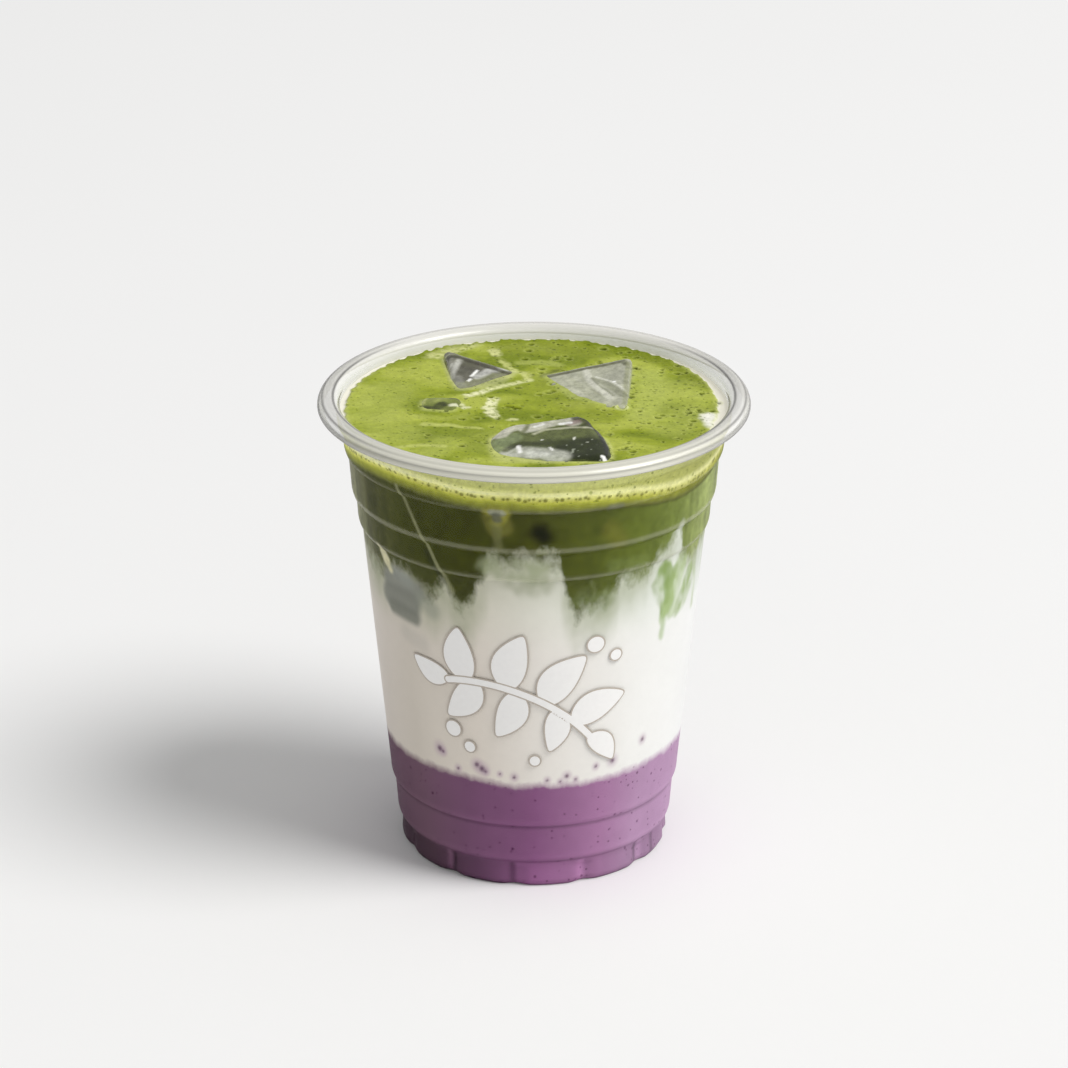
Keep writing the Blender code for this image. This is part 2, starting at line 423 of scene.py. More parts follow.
def paint_on(piece, name, colours, alpha=1.0):
    """Store a colour for each point of a piece."""
    layer = piece.data.color_attributes.new(name, "FLOAT_COLOR", "POINT")
    stored = np.ones((len(colours), 4), np.float32)
    stored[:, :3] = np.clip(colours, 0.0, 1.0)
    stored[:, 3] = alpha
    layer.data.foreach_set("color", stored.ravel())


def finish_piece(piece, material, node=None):
    """Give a piece its material, hang it under the root and hide the part that it stands for."""
    piece.data.materials.clear()
    piece.data.materials.append(material)
    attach(piece, "root")
    if node:
        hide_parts(node)


def wrap(name, rows, segments):
    """Closed piece whose rows run round the axis: each gives radius and height by azimuth."""
    deselect()
    last = len(rows) - 1
    bpy.ops.mesh.primitive_grid_add(x_subdivisions=segments, y_subdivisions=last, size=2.0)
    piece = named(name)
    flat = places_of(piece)
    azimuths = flat[:, 0] * FULL_TURN / 2
    numbers = np.rint((flat[:, 1] + 1.0) / 2.0 * last).astype(int)
    places = np.zeros_like(flat)
    for number, row in enumerate(rows):
        here = numbers == number
        radius, height = row(azimuths[here])
        turn = np.radians(azimuths[here])
        places[here, 0] = radius * np.sin(turn)
        places[here, 1] = -radius * np.cos(turn)
        places[here, 2] = height
    flute(places)
    move_to(piece, places)
    merge_and_turn_out(piece)
    return piece


# Materials

# Dots in the taro and the foam: size of their cells, share of the cells with one, radius in a cell
TARO_DOTS = ((0.0026, 0.22, 0.13), (0.0013, 0.30, 0.17))
FOAM_DOTS = ((0.0028, 0.42, 0.16), (0.0017, 0.45, 0.18), (0.0010, 0.35, 0.20))


class Nodes:
    """A material's nodes, added and linked in short lines."""

    def __init__(self, name):
        self.material = bpy.data.materials.new(name)
        self.material.use_nodes = True
        self.tree = self.material.node_tree
        self.tree.nodes.clear()
        self.output = self.tree.nodes.new("ShaderNodeOutputMaterial")

    def add(self, kind, settings=None, **inputs):
        node = self.tree.nodes.new("ShaderNode" + kind)
        for setting, value in (settings or {}).items():
            setattr(node, setting, value)
        for name, value in inputs.items():
            self.put(node, name.replace("_", " "), value)
        return node

    def put(self, node, name, value):
        """Set an input by its name or number, or link it to another node's output."""
        socket = node.inputs[int(name) if name.isdigit() else name]
        if isinstance(value, bpy.types.NodeSocket):
            self.tree.links.new(value, socket)
        else:
            socket.default_value = value

    def maths(self, operation, first, second=0.0, clamp=False):
        node = self.tree.nodes.new("ShaderNodeMath")
        node.operation = operation
        node.use_clamp = clamp
        self.put(node, "0", first)
        self.put(node, "1", second)
        return node.outputs[0]

    def ramp(self, value, low, high, start=0.0, end=1.0):
        """Straight change from start to end while a value goes from low to high."""
        node = self.tree.nodes.new("ShaderNodeMapRange")
        node.clamp = True
        for name, setting in zip(
            ("Value", "From Min", "From Max", "To Min", "To Max"),
            (value, low, high, start, end),
        ):
            self.put(node, name, setting)
        return node.outputs["Result"]

    def blend(self, share, first, second, kind="MIX"):
        """Mix of two colours."""
        node = self.tree.nodes.new("ShaderNodeMix")
        node.data_type = "RGBA"
        node.blend_type = kind
        self.put(node, "0", share)
        self.put(node, "6", first)
        self.put(node, "7", second)
        return node.outputs[2]

    def noise(self, where, scale, detail, roughness=0.5):
        """Smooth noise with an even mean."""
        node = self.add("TexNoise", Vector=where, Scale=scale, Detail=detail, Roughness=roughness)
        return node.outputs["Fac"]

    def dots(self, where, cells, channel, reach, strength):
        """Round dots in a share of a pattern's cells, soft out to some times their radius."""
        size, share, radius = cells
        pattern = self.add("TexVoronoi", Vector=where, Scale=1.0 / size, Randomness=1.0)
        chosen = self.add("SeparateColor", Color=pattern.outputs["Color"]).outputs[channel]
        kept = self.maths("LESS_THAN", chosen, share)
        near = self.ramp(pattern.outputs["Distance"], radius * 0.6, radius * reach, strength, 0.0)
        return self.maths("MULTIPLY", near, kept)

    def vary(self, colour, light):
        """A colour made lighter or darker by a factor."""
        tone = self.add("CombineColor", Red=light, Green=light, Blue=light).outputs[0]
        return self.blend(1.0, colour, tone, "MULTIPLY")

    def mix(self, share, first, second):
        """Mix of two shaders."""
        node = self.tree.nodes.new("ShaderNodeMixShader")
        self.put(node, "0", share)
        self.put(node, "1", first)
        self.put(node, "2", second)
        return node.outputs[0]

    def coordinates(self, stretch=(1.0, 1.0, 1.0)):
        source = self.add("TexCoord").outputs["Object"]
        mapping = self.add("Mapping")
        self.put(mapping, "Vector", source)
        mapping.inputs["Scale"].default_value = stretch
        return mapping.outputs[0]

    def lamps_pass(self, shader, tint):
        """Let light reach what lies behind a clear shader."""
        path = self.add("LightPath")
        share = self.maths(
            "MAXIMUM", path.outputs["Is Shadow Ray"], path.outputs["Is Diffuse Ray"]
        )
        open_way = self.add("BsdfTransparent", Color=(*tint, 1.0)).outputs[0]
        return self.mix(share, shader, open_way)

    def show(self, shader):
        self.put(self.output, "Surface", shader)
        return self.material


def clear_plastic():
    """Clear cup plastic, with painted reflections where its paint says so: pale and dark lines over the lip,
    the neck and the folds.
    """
    nodes = Nodes("clear_plastic")
    look = bpy.context.scene.latte_cup
    bent = nodes.add(
        "BsdfRefraction", Color=(*look.tint, 1.0), Roughness=0.0, IOR=look.ior
    ).outputs[0]
    mirror = nodes.add("BsdfGlossy", Color=(1.0, 1.0, 1.0, 1.0), Roughness=0.04).outputs[0]
    facing = nodes.add("Fresnel", IOR=look.ior).outputs[0]
    glass = nodes.mix(nodes.maths("MULTIPLY", facing, look.gloss), bent, mirror)
    paint = nodes.add("Attribute", {"attribute_name": "painted_reflections"})
    painted_reflections = nodes.add(
        "BsdfPrincipled", Base_Color=paint.outputs["Color"], Roughness=0.25
    ).outputs[0]
    body = nodes.mix(paint.outputs["Alpha"], glass, painted_reflections)
    return nodes.show(nodes.lamps_pass(body, look.shade))


def drink_material(name, specks):
    """Two painted layers whose border is feathered, with mottled matcha or dark specks."""
    nodes = Nodes(name)
    upper = nodes.add("Attribute", {"attribute_name": "drink"}).outputs
    lower = nodes.add("Attribute", {"attribute_name": "under"}).outputs
    where = nodes.coordinates()
    tall = nodes.coordinates((1.0, 1.0, 0.7))
    plume = nodes.noise(tall, 250.0, 8.0, 0.68)
    feather = nodes.maths("MULTIPLY", nodes.maths("SUBTRACT", plume, 0.5), lower["Alpha"])
    border = nodes.maths("ADD", upper["Alpha"], feather)
    share = nodes.ramp(border, 0.16, 0.84)
    base = nodes.blend(share, lower["Color"], upper["Color"])
    cloud = nodes.noise(where, 520.0, 5.0, 0.65)
    height = nodes.add("SeparateXYZ", Vector=where).outputs["Z"]
    depth = nodes.maths("MULTIPLY", share, nodes.ramp(height, 0.060, 0.066))
    depth = nodes.maths("ADD", nodes.maths("MULTIPLY", depth, 0.9), 0.06)
    wave = nodes.maths("MULTIPLY", nodes.maths("SUBTRACT", cloud, 0.5), depth)
    light = nodes.maths("ADD", wave, 1.0)
    base = nodes.vary(base, light)
    if specks:
        for cells in TARO_DOTS:
            speck = nodes.dots(where, cells, "Red", 1.5, 0.8)
            dark = nodes.blend(1.0, base, (0.34, 0.24, 0.32, 1.0), "MULTIPLY")
            base = nodes.blend(speck, base, dark)
    shader = nodes.add(
        "BsdfPrincipled", Base_Color=base, Roughness=0.5, Specular_IOR_Level=0.05
    )
    return nodes.show(shader.outputs[0])


def foam_material():
    """Matcha foam: painted, with fine bubbles that show as dark dots, sunk by the bump: partly the darker
    drink and partly painted shade in their hollows.
    """
    nodes = Nodes("matcha_foam")
    attribute = nodes.add("Attribute", {"attribute_name": "drink"})
    painted = attribute.outputs["Color"]
    foamy = attribute.outputs["Alpha"]
    where = nodes.coordinates()
    cloud = nodes.noise(where, 900.0, 6.0, 0.75)
    light = nodes.ramp(cloud, 0.3, 0.7, 0.80, 1.19)
    base = nodes.blend(foamy, painted, nodes.vary(painted, light))
    dots = None
    for cells in FOAM_DOTS:
        dot = nodes.dots(where, cells, "Green", 1.3, 1.0)
        dots = dot if dots is None else nodes.maths("MAXIMUM", dots, dot)
    dots = nodes.maths("MULTIPLY", dots, foamy)
    dark = nodes.blend(1.0, base, (0.36, 0.42, 0.20, 1.0), "MULTIPLY")
    base = nodes.blend(nodes.maths("MULTIPLY", dots, 0.7), base, dark)
    height = nodes.maths("SUBTRACT", nodes.maths("MULTIPLY", cloud, 0.5), dots)
    bump = nodes.add("Bump", Height=height, Strength=0.5, Distance=0.0003)
    shader = nodes.add(
        "BsdfPrincipled",
        Base_Color=base,
        Roughness=0.42,
        Specular_IOR_Level=0.08,
        Normal=bump.outputs[0],
    )
    return nodes.show(shader.outputs[0])


def ice_material():
    """Wet ice: clear where the paint's alpha is low, cloudy where it is high."""
    nodes = Nodes("wet_ice")
    look = bpy.context.scene.latte_ice
    attribute = nodes.add("Attribute", {"attribute_name": "ice"})
    where = nodes.coordinates()
    waves = nodes.noise(where, 340.0, 4.0, 0.55)
    bump = nodes.add("Bump", Height=waves, Strength=0.22, Distance=0.0004).outputs[0]
    glass = nodes.add(
        "BsdfGlass",
        Color=(*look.tint, 1.0),
        Roughness=0.02,
        IOR=look.ior,
        Normal=bump,
    ).outputs[0]
    streaks = nodes.noise(where, 620.0, 5.0, 0.72)
    light = nodes.ramp(streaks, 0.3, 0.7, 0.68, 1.3)
    colour = nodes.vary(attribute.outputs["Color"], light)
    cloudy = nodes.add(
        "BsdfPrincipled",
        Base_Color=colour,
        Roughness=0.12,
        Specular_IOR_Level=0.3,
        Normal=bump,
    ).outputs[0]
    body = nodes.mix(attribute.outputs["Alpha"], glass, cloudy)
    return nodes.show(nodes.lamps_pass(body, (0.85, 0.86, 0.85)))


def print_material(name, colour, roughness):
    """Opaque colour with a faint unevenness: the screen ink, and the painted shadow line round it."""
    nodes = Nodes(name)
    where = nodes.coordinates()
    film = nodes.noise(where, 900.0, 4.0)
    light = nodes.ramp(film, 0.3, 0.7, 0.98, 1.01)
    base = nodes.vary((*colour, 1.0), light)
    shader = nodes.add("BsdfPrincipled", Base_Color=base, Roughness=roughness)
    return nodes.show(shader.outputs[0])


def floor_material():
    """Pale floor, almost even."""
    nodes = Nodes("pale_floor")
    look = bpy.context.scene.latte_stage
    where = nodes.coordinates()
    cloud = nodes.noise(where, 3.0, 2.0)
    light = nodes.ramp(cloud, 0.3, 0.7, 0.995, 1.005)
    base = nodes.vary((*look.floor_colour, 1.0), light)
    shader = nodes.add("BsdfPrincipled", Base_Color=base, Roughness=0.9, Specular_IOR_Level=0.0)
    return nodes.show(shader.outputs[0])


# Paint of the drink as it shows through the wall: azimuth and height in millimetres

WALL_MM_PER_DEGREE = 40.0 * math.pi / 180.0
# Heights between which there is only milk
MILK_BETWEEN = (42.0, 56.0)

SUNKEN = (
    # pale mist under the fingers
    Stroke(((-14, 83), (-6, 82.5), (4, 81.5)), 1.4, 2.8, (164, 172, 134), 0.7),
    Stroke(((-9, 79.5), (-3, 77.5), (4, 78.5)), 0.6, 2.6, (160, 166, 134), 0.45),
    Stroke(((26, 82), (38, 81.5)), 0.6, 2.2, (120, 134, 74), 0.5),
    # pale green patch at the right
    Stroke(((49, 76), (51.5, 72), (51.8, 67.5)), 2.2, 1.6, (150, 176, 104), 0.85),
    Stroke(((58, 75.5), (55, 71), (53.5, 66)), 1.8, 2.0, (174, 195, 136), 0.8),
    Stroke(((66, 73), (63, 69.5), (59, 65.5)), 1.0, 1.6, (152, 176, 106), 0.8),
    Stroke(((49, 66), (50.6, 62.5), (50.2, 59.5)), 0.25, 1.3, (176, 196, 146), 0.7),
    Stroke(((48.6, 79), (43.8, 73.8), (46.8, 69.4), (48.6, 66.4)), 0.2, 1.2, (136, 160, 88), 0.5),
    Stroke(((49, 77.5), (49.8, 74)), 0.8, 1.4, (128, 152, 78), 0.6),
    Stroke(((50, 71.5), (51.5, 69)), 0.6, 1.2, (138, 162, 86), 0.5),
    Stroke(((54.5, 76), (52, 72)), 0.5, 1.2, (138, 162, 88), 0.55),
    Stroke(((67, 68.6), (64, 66), (60.7, 64.3), (57.2, 63.8)), 0.4, 1.6, (166, 188, 128), 0.55),
    Stroke(((70, 73), (72, 67), (72.5, 62.5)), 0.3, 1.4, (176, 194, 138), 0.5),
    Stroke(((55, 72.5), (57, 68), (55.6, 64.5)), 0.2, 1.0, (220, 230, 204), 0.5),
    Stroke(((59.5, 73), (60.6, 70)), 0.4, 1.1, (222, 231, 206), 0.5),
    # white whirls inside the broad finger
    Stroke(((19, 78.5), (20.4, 76), (19.6, 74)), 0.15, 0.7, (132, 142, 96), 0.5),
    Stroke(((24.5, 75.5), (25, 73)), 0.3, 0.9, (150, 158, 122), 0.5),
    Stroke(((16.5, 74.5), (21, 73), (25, 74)), 1.0, 2.4, (126, 138, 92), 0.5),
)
# Grey ice in the milk at the left, with a bright streak over it
SUNKEN_ICE = (
    Stroke(((-57, 72.5), (-50, 73), (-44, 72.5)), 1.4, 2.8, (144, 146, 138), 0.85),
    Stroke(((-58, 68.5), (-46, 69)), 2.0, 2.2, (138, 140, 131), 0.9),
    Stroke(((-56.5, 65.9), (-45, 65.6)), 1.0, 2.0, (134, 136, 126), 0.9),
    Stroke(((-53, 75), (-47, 74.5)), 0.6, 2.2, (162, 166, 160), 0.5),
    Stroke(((-41, 71.5), (-36.5, 69)), 0.8, 2.6, (152, 156, 142), 0.5),
    Stroke(((-50, 60.5), (-42, 59.5)), 0.5, 3.0, (196, 192, 182), 0.35),
    Stroke(((-61.5, 79.6), (-55.8, 74.9)), 0.25, 1.0, (226, 221, 184), 0.9),
    Stroke(((-60.2, 78.8), (-58, 77)), 0.8, 1.1, (230, 225, 186), 0.92),
)
# Long pale line, a painted highlight along the edge of a sunken piece of ice, and the dark line beside it
ICE_EDGE_HIGHLIGHT = (
    Stroke(((-36, 84.0), (-30.5, 76.5)), 0.3, 1.2, (50, 56, 24), 0.7),
    Stroke(((-45, 99), (-38.7, 90), (-33, 82.0), (-27.5, 75)), 0.1, 0.6, (158, 160, 118), 0.75),
)
# Tips of ice under the froth, and a dark spot below them
TIPS = (
    Stroke(((-11.6, 95.6), (-10.6, 93.6)), 1.7, 2.2, (132, 130, 60), 0.6),
    Stroke(((-13.4, 97.2), (-8.6, 97.2), (-11.0, 94.6)), 0.5, 1.5, (164, 162, 66), 0.7),
    Stroke(((-12.6, 97.0), (-9.6, 97.0)), 0.55, 0.7, (150, 152, 132), 0.9),
    Stroke(((-11.1, 96.3), (-11.0, 95.2)), 0.5, 0.8, (104, 106, 90), 0.85),
    Stroke(((-11.4, 93.6), (-11, 88.5)), 0.3, 1.4, (124, 126, 80), 0.55),
    Stroke(((22.8, 97.4), (26.4, 97.4)), 0.3, 0.9, (118, 120, 98), 0.65),
    Stroke(((24, 91.5), (27, 88.5)), 0.8, 2.6, (124, 122, 48), 0.45),
    Stroke(((1.9, 92.3), (2.9, 91.3)), 0.4, 3.4, (18, 20, 3), 0.95),
)
# Lower edge of the matcha on the side that shows: azimuth and height
MATCHA_EDGE = (
    (-80, 75),
    (-70, 73.5),
    (-63, 73.5),
    (-57, 75.5),
    (-50, 76.5),
    (-43.4, 75),
    (-40, 73.8),
    (-36, 72.5),
    (-33, 75),
    (-30.4, 76.2),
    (-27.4, 71.6),
    (-24.4, 70.4),
    (-21, 73),
    (-19.2, 76.6),
    (-16.2, 81),
    (-14.4, 85.6),
    (-7, 85),
    (5, 85.8),
    (8.3, 84.5),
    (9.1, 81),
    (10.4, 76.4),
    (12.6, 72.5),
    (13.9, 70),
    (16.4, 71.6),
    (24.6, 72.3),
    (26.3, 74.2),
    (28.9, 76.4),
    (30, 78.7),
    (40.6, 77.6),
    (42.6, 80),
    (44, 81.8),
    (48, 82.2),
    (50.4, 83.4),
    (52, 86.5),
    (53.6, 88.5),
    (55, 86),
    (55.8, 82),
    (57, 79),
    (64.2, 76),
    (70, 76),
    (80, 78),
)
# Colours round the wall by azimuth, which run on round the back until they meet: the drink's own colours
# with painted shade, darkest left of the front, away from the key light, and lighter towards the right
MATCHA_TONES = (
    (-85, (150, 150, 120)),
    (-75, (136, 137, 104)),
    (-62, (86, 88, 50)),
    (-45, (72, 76, 26)),
    (-20, (64, 68, 12)),
    (0, (72, 76, 18)),
    (18, (84, 92, 30)),
    (35, (100, 112, 42)),
    (50, (121, 135, 64)),
    (68, (154, 166, 100)),
    (85, (152, 162, 104)),
)
MILK_TONES = (
    (-80, (240, 231, 222)),
    (-50, (226, 217, 205)),
    (-20, (242, 233, 222)),
    (5, (250, 245, 238)),
    (40, (250, 249, 246)),
    (80, (248, 248, 248)),
)
TARO_TONES = (
    (-80, (116, 88, 106)),
    (-50, (120, 89, 108)),
    (-25, (128, 86, 120)),
    (0, (143, 92, 136)),
    (28, (173, 125, 166)),
    (45, (184, 146, 181)),
    (80, (190, 152, 188)),
)

# Colours of the froth by the height over its lower boundary
FROTH_TONES = (
    (-3.2, (72, 78, 36)),
    (-2.5, (79, 82, 37)),
    (-2.0, (108, 112, 56)),
    (-1.2, (130, 134, 54)),
    (-0.4, (141, 144, 55)),
    (0.0, (160, 163, 62)),
    (0.4, (176, 176, 77)),
    (1.1, (197, 197, 112)),
    (2.0, (224, 222, 156)),
    (2.4, (214, 214, 148)),
    (3.4, (174, 177, 100)),
    (7.0, (168, 171, 96)),
)

# How much paler the froth is painted, as it lies in the shade of the lip
FROTH_GAIN = ((-90, 0.8), (-70, 0.8), (-30, 0.5), (15, 0.5), (60, 0.05), (90, 0.05))

# Flecks of taro in the milk: azimuth, height and size
TARO_FLECKS = (
    (-38, 33.5, 0.6),
    (-36.5, 33.0, 0.35),
    (-22, 31.6, 0.5),
    (-20, 30.7, 0.6),
    (-18.6, 30.1, 0.35),
    (-30, 29.6, 0.3),
    (-13, 29.9, 0.22),
    (-7.5, 29.3, 0.35),
    (5.0, 28.6, 0.28),
    (10, 28.1, 0.25),
    (12.5, 29.4, 0.4),
    (16, 28.3, 0.25),
    (24, 30.9, 0.3),
    (31, 31.5, 0.5),
    (45, 34.5, 0.4),
)
# Painted shade on the foot: how much darker it is painted by azimuth, most at the left, away from the key
# light, and lighter at the front
FOOT_TONES = ((-90, 0.5), (-60, 0.5), (-25, 0.34), (0, -0.22), (30, 0.1), (50, 0.26), (90, 0.26))
# Shading of the foot's grooves: azimuth, shift of tone and half width in degrees
FOOT_SHADES = (
    (-39.5, 0.5, 1.5),
    (-36.8, -0.3, 1.2),
    (-9.3, -0.42, 1.6),
    (-6.8, 0.1, 1.5),
    (20.5, 0.3, 2.0),
    (24.0, -0.1, 1.6),
    (49.2, -0.28, 1.2),
    (53.0, 0.22, 2.4),
    (62.0, -0.25, 1.5),
)
# Painted shade under the wall's folds over the taro, with a paler band painted just above: height, depth of
# tone below and above
TARO_FOLD_SHADES = ((15.9, 0.34), (6.5, 0.30))


def tones_at(tones, values, period=None):
    """Linear colours between the stops of a table of screen colours, which may go round."""
    stops, colours = zip(*tones)
    colours = np.array([linear(colour) for colour in colours])
    return np.stack([np.interp(values, stops, colours[:, i], period=period) for i in range(3)], 1)


def matcha_edge(azimuth):
    """Height at which the matcha seems to end, in millimetres."""
    seen = np.interp(azimuth, *zip(*MATCHA_EDGE))
    hidden = MATCHA_BOUNDARY(azimuth) / MM
    return seen + ease((np.abs(azimuth) - 76.0) / 12.0) * (hidden - seen)


def paint_wall(places):
    """Upper and lower colours of the drink's side, the share of the upper and its feather."""
    azimuth = azimuth_of(places)
    height = places[:, 2] / MM
    drift = grain(places, (0.006, 0.006, 0.012), 3.1)
    fine = grain(places, (0.0017, 0.0017, 0.0028), 7.7)
    streak = grain(places, (0.0020, 0.0020, 0.05), 1.3)
    u = azimuth * WALL_MM_PER_DEGREE

    # Painted reflections: streaks that run up the wall, faint at the front and stronger at the sides
    streaky = 0.06 + 0.34 * ease((np.abs(azimuth) - 40.0) / 24.0)
    # The tone tables carry painted shade round the wall, darker on the left and lighter towards the right
    matcha = tones_at(MATCHA_TONES, azimuth, FULL_TURN)
    matcha *= (1.0 + streaky * streak + 0.16 * drift + 0.06 * fine)[:, None]
    milk = tones_at(MILK_TONES, azimuth, FULL_TURN)
    rise = ease((height - 58.0) / 16.0)[:, None]
    milk *= 1.0 - rise * np.array((0.09, 0.055, 0.10))
    over_edge = height - matcha_edge(azimuth)
    tips = (0.26 + 0.5 * fine).clip(0, 1) * ease(1.0 - over_edge / 4.0)
    lay_over(matcha, tips, (136, 144, 104))
    mist = ease(over_edge / 15.0 + 1.0) * (0.5 + 0.36 * drift + 0.14 * fine).clip(0, 1)
    lay_over(milk, mist * (height > 45.0), (160, 168, 132))
    milk *= (1.0 + 0.02 * drift)[:, None]
    taro = tones_at(TARO_TONES, azimuth, FULL_TURN)
    tone = 0.05 * drift + 0.04 * fine
    # Painted shade under each fold of the wall, and painted light just above it
    for fold_height, depth in TARO_FOLD_SHADES:
        tone -= depth * bell(height - fold_height, 0.45)
        tone += 0.3 * depth * bell(height - fold_height - 1.3, 0.7)
    # Painted shade on the foot, darkest at the left
    on_foot = ease((6.4 - height) / 0.8)
    tone -= on_foot * np.interp(azimuth, *zip(*FOOT_TONES), period=FULL_TURN)
    on_foot = on_foot * ease((height - 0.2) / 1.2)
    for centre, shift, half_width in FOOT_SHADES:
        tone += shift * on_foot * bell(turn_between(azimuth, centre), half_width)
    # Painted shade along the bottom edge, where the cup stands on the floor
    tone -= 0.6 * ease((0.9 - height) / 0.7)
    taro *= (1.0 + tone)[:, None]

    mottled = (0.85 + 0.5 * fine + 0.4 * drift).clip(0.0, 1.0)
    for layer in (matcha, milk):
        brush(layer, SUNKEN, u + 0.6 * fine, height + 0.5 * drift + 0.5 * fine, mottled)
        brush(layer, SUNKEN_ICE, u + 0.3 * fine, height + 0.4 * drift)
    over = height - FROTH_BOUNDARY(azimuth) / MM + 0.25 * drift + 0.15 * fine
    froth = tones_at(FROTH_TONES, over) * (1.0 + 0.08 * fine + 0.08 * drift)[:, None]
    gain = np.interp(azimuth, *zip(*FROTH_GAIN), period=FULL_TURN) * ease((over + 2.5) / 2.5)
    froth *= 1.0 + gain[:, None]
    matcha += ease((over + 3.0) / 0.9)[:, None] * (froth - matcha)
    brush(matcha, ICE_EDGE_HIGHLIGHT, u, height)
    brush(matcha, TIPS, u + 0.4 * fine, height)

    upper = np.where((height > MILK_BETWEEN[1])[:, None], matcha, milk)
    lower = np.where((height > MILK_BETWEEN[0])[:, None], milk, taro)
    taro_share = (height - TARO_BOUNDARY(azimuth) / MM - 0.6 * drift) / 3.2 + 0.5
    matcha_share = (over_edge - 1.0 * drift - 0.8 * fine) / 7.0 + 0.5
    high = height > sum(MILK_BETWEEN) / 2
    share = np.where(high, matcha_share, taro_share).clip(-2.0, 3.0)
    feather = np.where(high, 1.9, 0.9)
    return upper, lower, share, feather


def paint_side(piece, flecks=()):
    """Paint a layer from its places."""
    places = places_of(piece)
    upper, lower, share, feather = paint_wall(places)
    brush(upper, flecks, azimuth_of(places) * WALL_MM_PER_DEGREE, places[:, 2] / MM)
    paint_on(piece, "drink", upper, share)
    paint_on(piece, "under", lower, feather)


def bubble_row(places, colours):
    """Dark bubbles that line the froth behind the wall."""
    draw = random.Random(5)
    azimuth = -180.0
    u = azimuth_of(places)
    v = places[:, 2] / MM
    while azimuth < 180.0:
        azimuth += draw.uniform(0.9, 3.4)
        size = draw.uniform(0.16, 0.44)
        height = FROTH_BOUNDARY(azimuth) / MM + 1.0 + draw.uniform(-0.25, 0.3)
        away = np.hypot(turn_between(u, azimuth) * WALL_MM_PER_DEGREE, v - height)
        share = 0.75 * ease((size + 0.2 - away) / 0.34)
        lay_over(colours, share, (100, 100, 30))


def scaled(strokes):
    """Strokes on the wall with their azimuths turned into millimetres."""
    return tuple(
        stroke._replace(points=tuple((a * WALL_MM_PER_DEGREE, h) for a, h in stroke.points))
        for stroke in strokes
    )


SUNKEN = scaled(SUNKEN)
SUNKEN_ICE = scaled(SUNKEN_ICE)
ICE_EDGE_HIGHLIGHT = scaled(ICE_EDGE_HIGHLIGHT)
TIPS = scaled(TIPS)


# The properties of the sidebar


def number_setting(name, description, default, unit="NONE"):
    return bpy.props.FloatProperty(name=name, description=description, default=default, unit=unit)


def length_setting(name, description, default):
    return number_setting(name, description, default, "LENGTH")


def power_setting(name, description, default):
    return number_setting(name, description, default, "POWER")


def count_setting(name, description, default):
    return bpy.props.IntProperty(name=name, description=description, default=default)


def colour_setting(name, description, default):
    return bpy.props.FloatVectorProperty(
        name=name, description=description, default=default, subtype="COLOR"
    )


class LatteCup(bpy.types.PropertyGroup):
    wall: length_setting("Wall", "Thickness of the cup's wall", 0.00045)
    lip_radius: length_setting("Lip Radius", "Radius of the lip's middle", 0.04645)
    lip_height: length_setting("Lip Height", "Height of the lip's middle", 0.1072)
    lip_reach: length_setting("Lip Reach", "Half width inside the curl", 0.002075)
    lip_rise: length_setting("Lip Rise", "Height of the curl's top", 0.00175)
    lip_drop: length_setting("Lip Drop", "Depth of the curl's end", 0.000575)
    segments: count_setting("Segments", "Faces round the cup", 192)
    ior: number_setting("IOR", "How strongly the plastic bends light", 1.5)
    tint: colour_setting("Tint", "Colour of the plastic", (0.97, 0.975, 0.97))
    shade: colour_setting("Shade", "Light that the plastic lets through", (0.93, 0.93, 0.93))
    gloss: number_setting("Gloss", "Share of the wall's reflections that shows", 0.17)
    # Strength of the painted highlights along the folds
    fold_highlight: number_setting("Fold Haze", "How pale the folds above the milk are", 0.32)


class LatteColours(bpy.types.PropertyGroup):
    foam: colour_setting("Foam", "Foam on the drink", linear((152, 165, 46)))
    foam_light: colour_setting("Light Foam", "Paler swirls of the foam", linear((176, 186, 76)))
    foam_dark: colour_setting("Dark Foam", "Deeper swirls of the foam", linear((124, 139, 28)))


class LatteDrink(bpy.types.PropertyGroup):
    into_wall: length_setting("Into the Wall", "How far the drink reaches into the wall", 0.0001)
    segments: count_setting("Segments", "Faces round the lower layers", 640)
    foam_segments: count_setting("Foam Segments", "Faces round the foam, a multiple of 4", 960)
    row_height: length_setting("Row Height", "Height of the faces of the sides", 0.00046)
    pits: count_setting("Pits", "Open bubbles in the foam", 560)
    well_depth: length_setting("Well Depth", "Depth of the foam round the ice", 0.0045)


class LatteIce(bpy.types.PropertyGroup):
    ior: number_setting("IOR", "How strongly ice bends light", 1.31)
    tint: colour_setting("Tint", "Colour of clear ice", (0.93, 0.95, 0.93))
    grain: length_setting("Grain", "Size of the faces", 0.00036)


class LattePrint(bpy.types.PropertyGroup):
    ink: colour_setting("Ink", "White ink", linear((246, 245, 243)))
    edge: colour_setting("Edge", "Shadow line round the ink", linear((188, 178, 166)))
    thickness: length_setting("Thickness", "Thickness of the ink", 0.00006)
    outline: length_setting("Outline", "Width of the line round the ink", 0.00035)


class LatteStage(bpy.types.PropertyGroup):
    floor_colour: colour_setting("Floor", "Colour of the floor", (0.9, 0.9, 0.9))
    sky: number_setting("Sky", "Strength of the light from all round", 0.45)
    key_power: power_setting("Key Power", "Power of the key light", 271.0)
    key_azimuth: number_setting("Key Azimuth", "Where the key light stands", 68.0)
    key_elevation: number_setting("Key Elevation", "How high the key light stands", 52.0)
    key_size: length_setting("Key Size", "Diameter of the key light", 3.2)
    key_distance: length_setting("Key Distance", "Distance of the key light", 6.0)
    camera_distance: length_setting("Camera Distance", "From the camera to its target", 1.0)
    camera_elevation: number_setting("Camera Elevation", "Height of the camera as an angle", 22.553)
    target_height: length_setting("Target Height", "Height that the camera looks at", 0.0747)
    lens: number_setting("Lens", "Focal length in millimetres", 147.28)
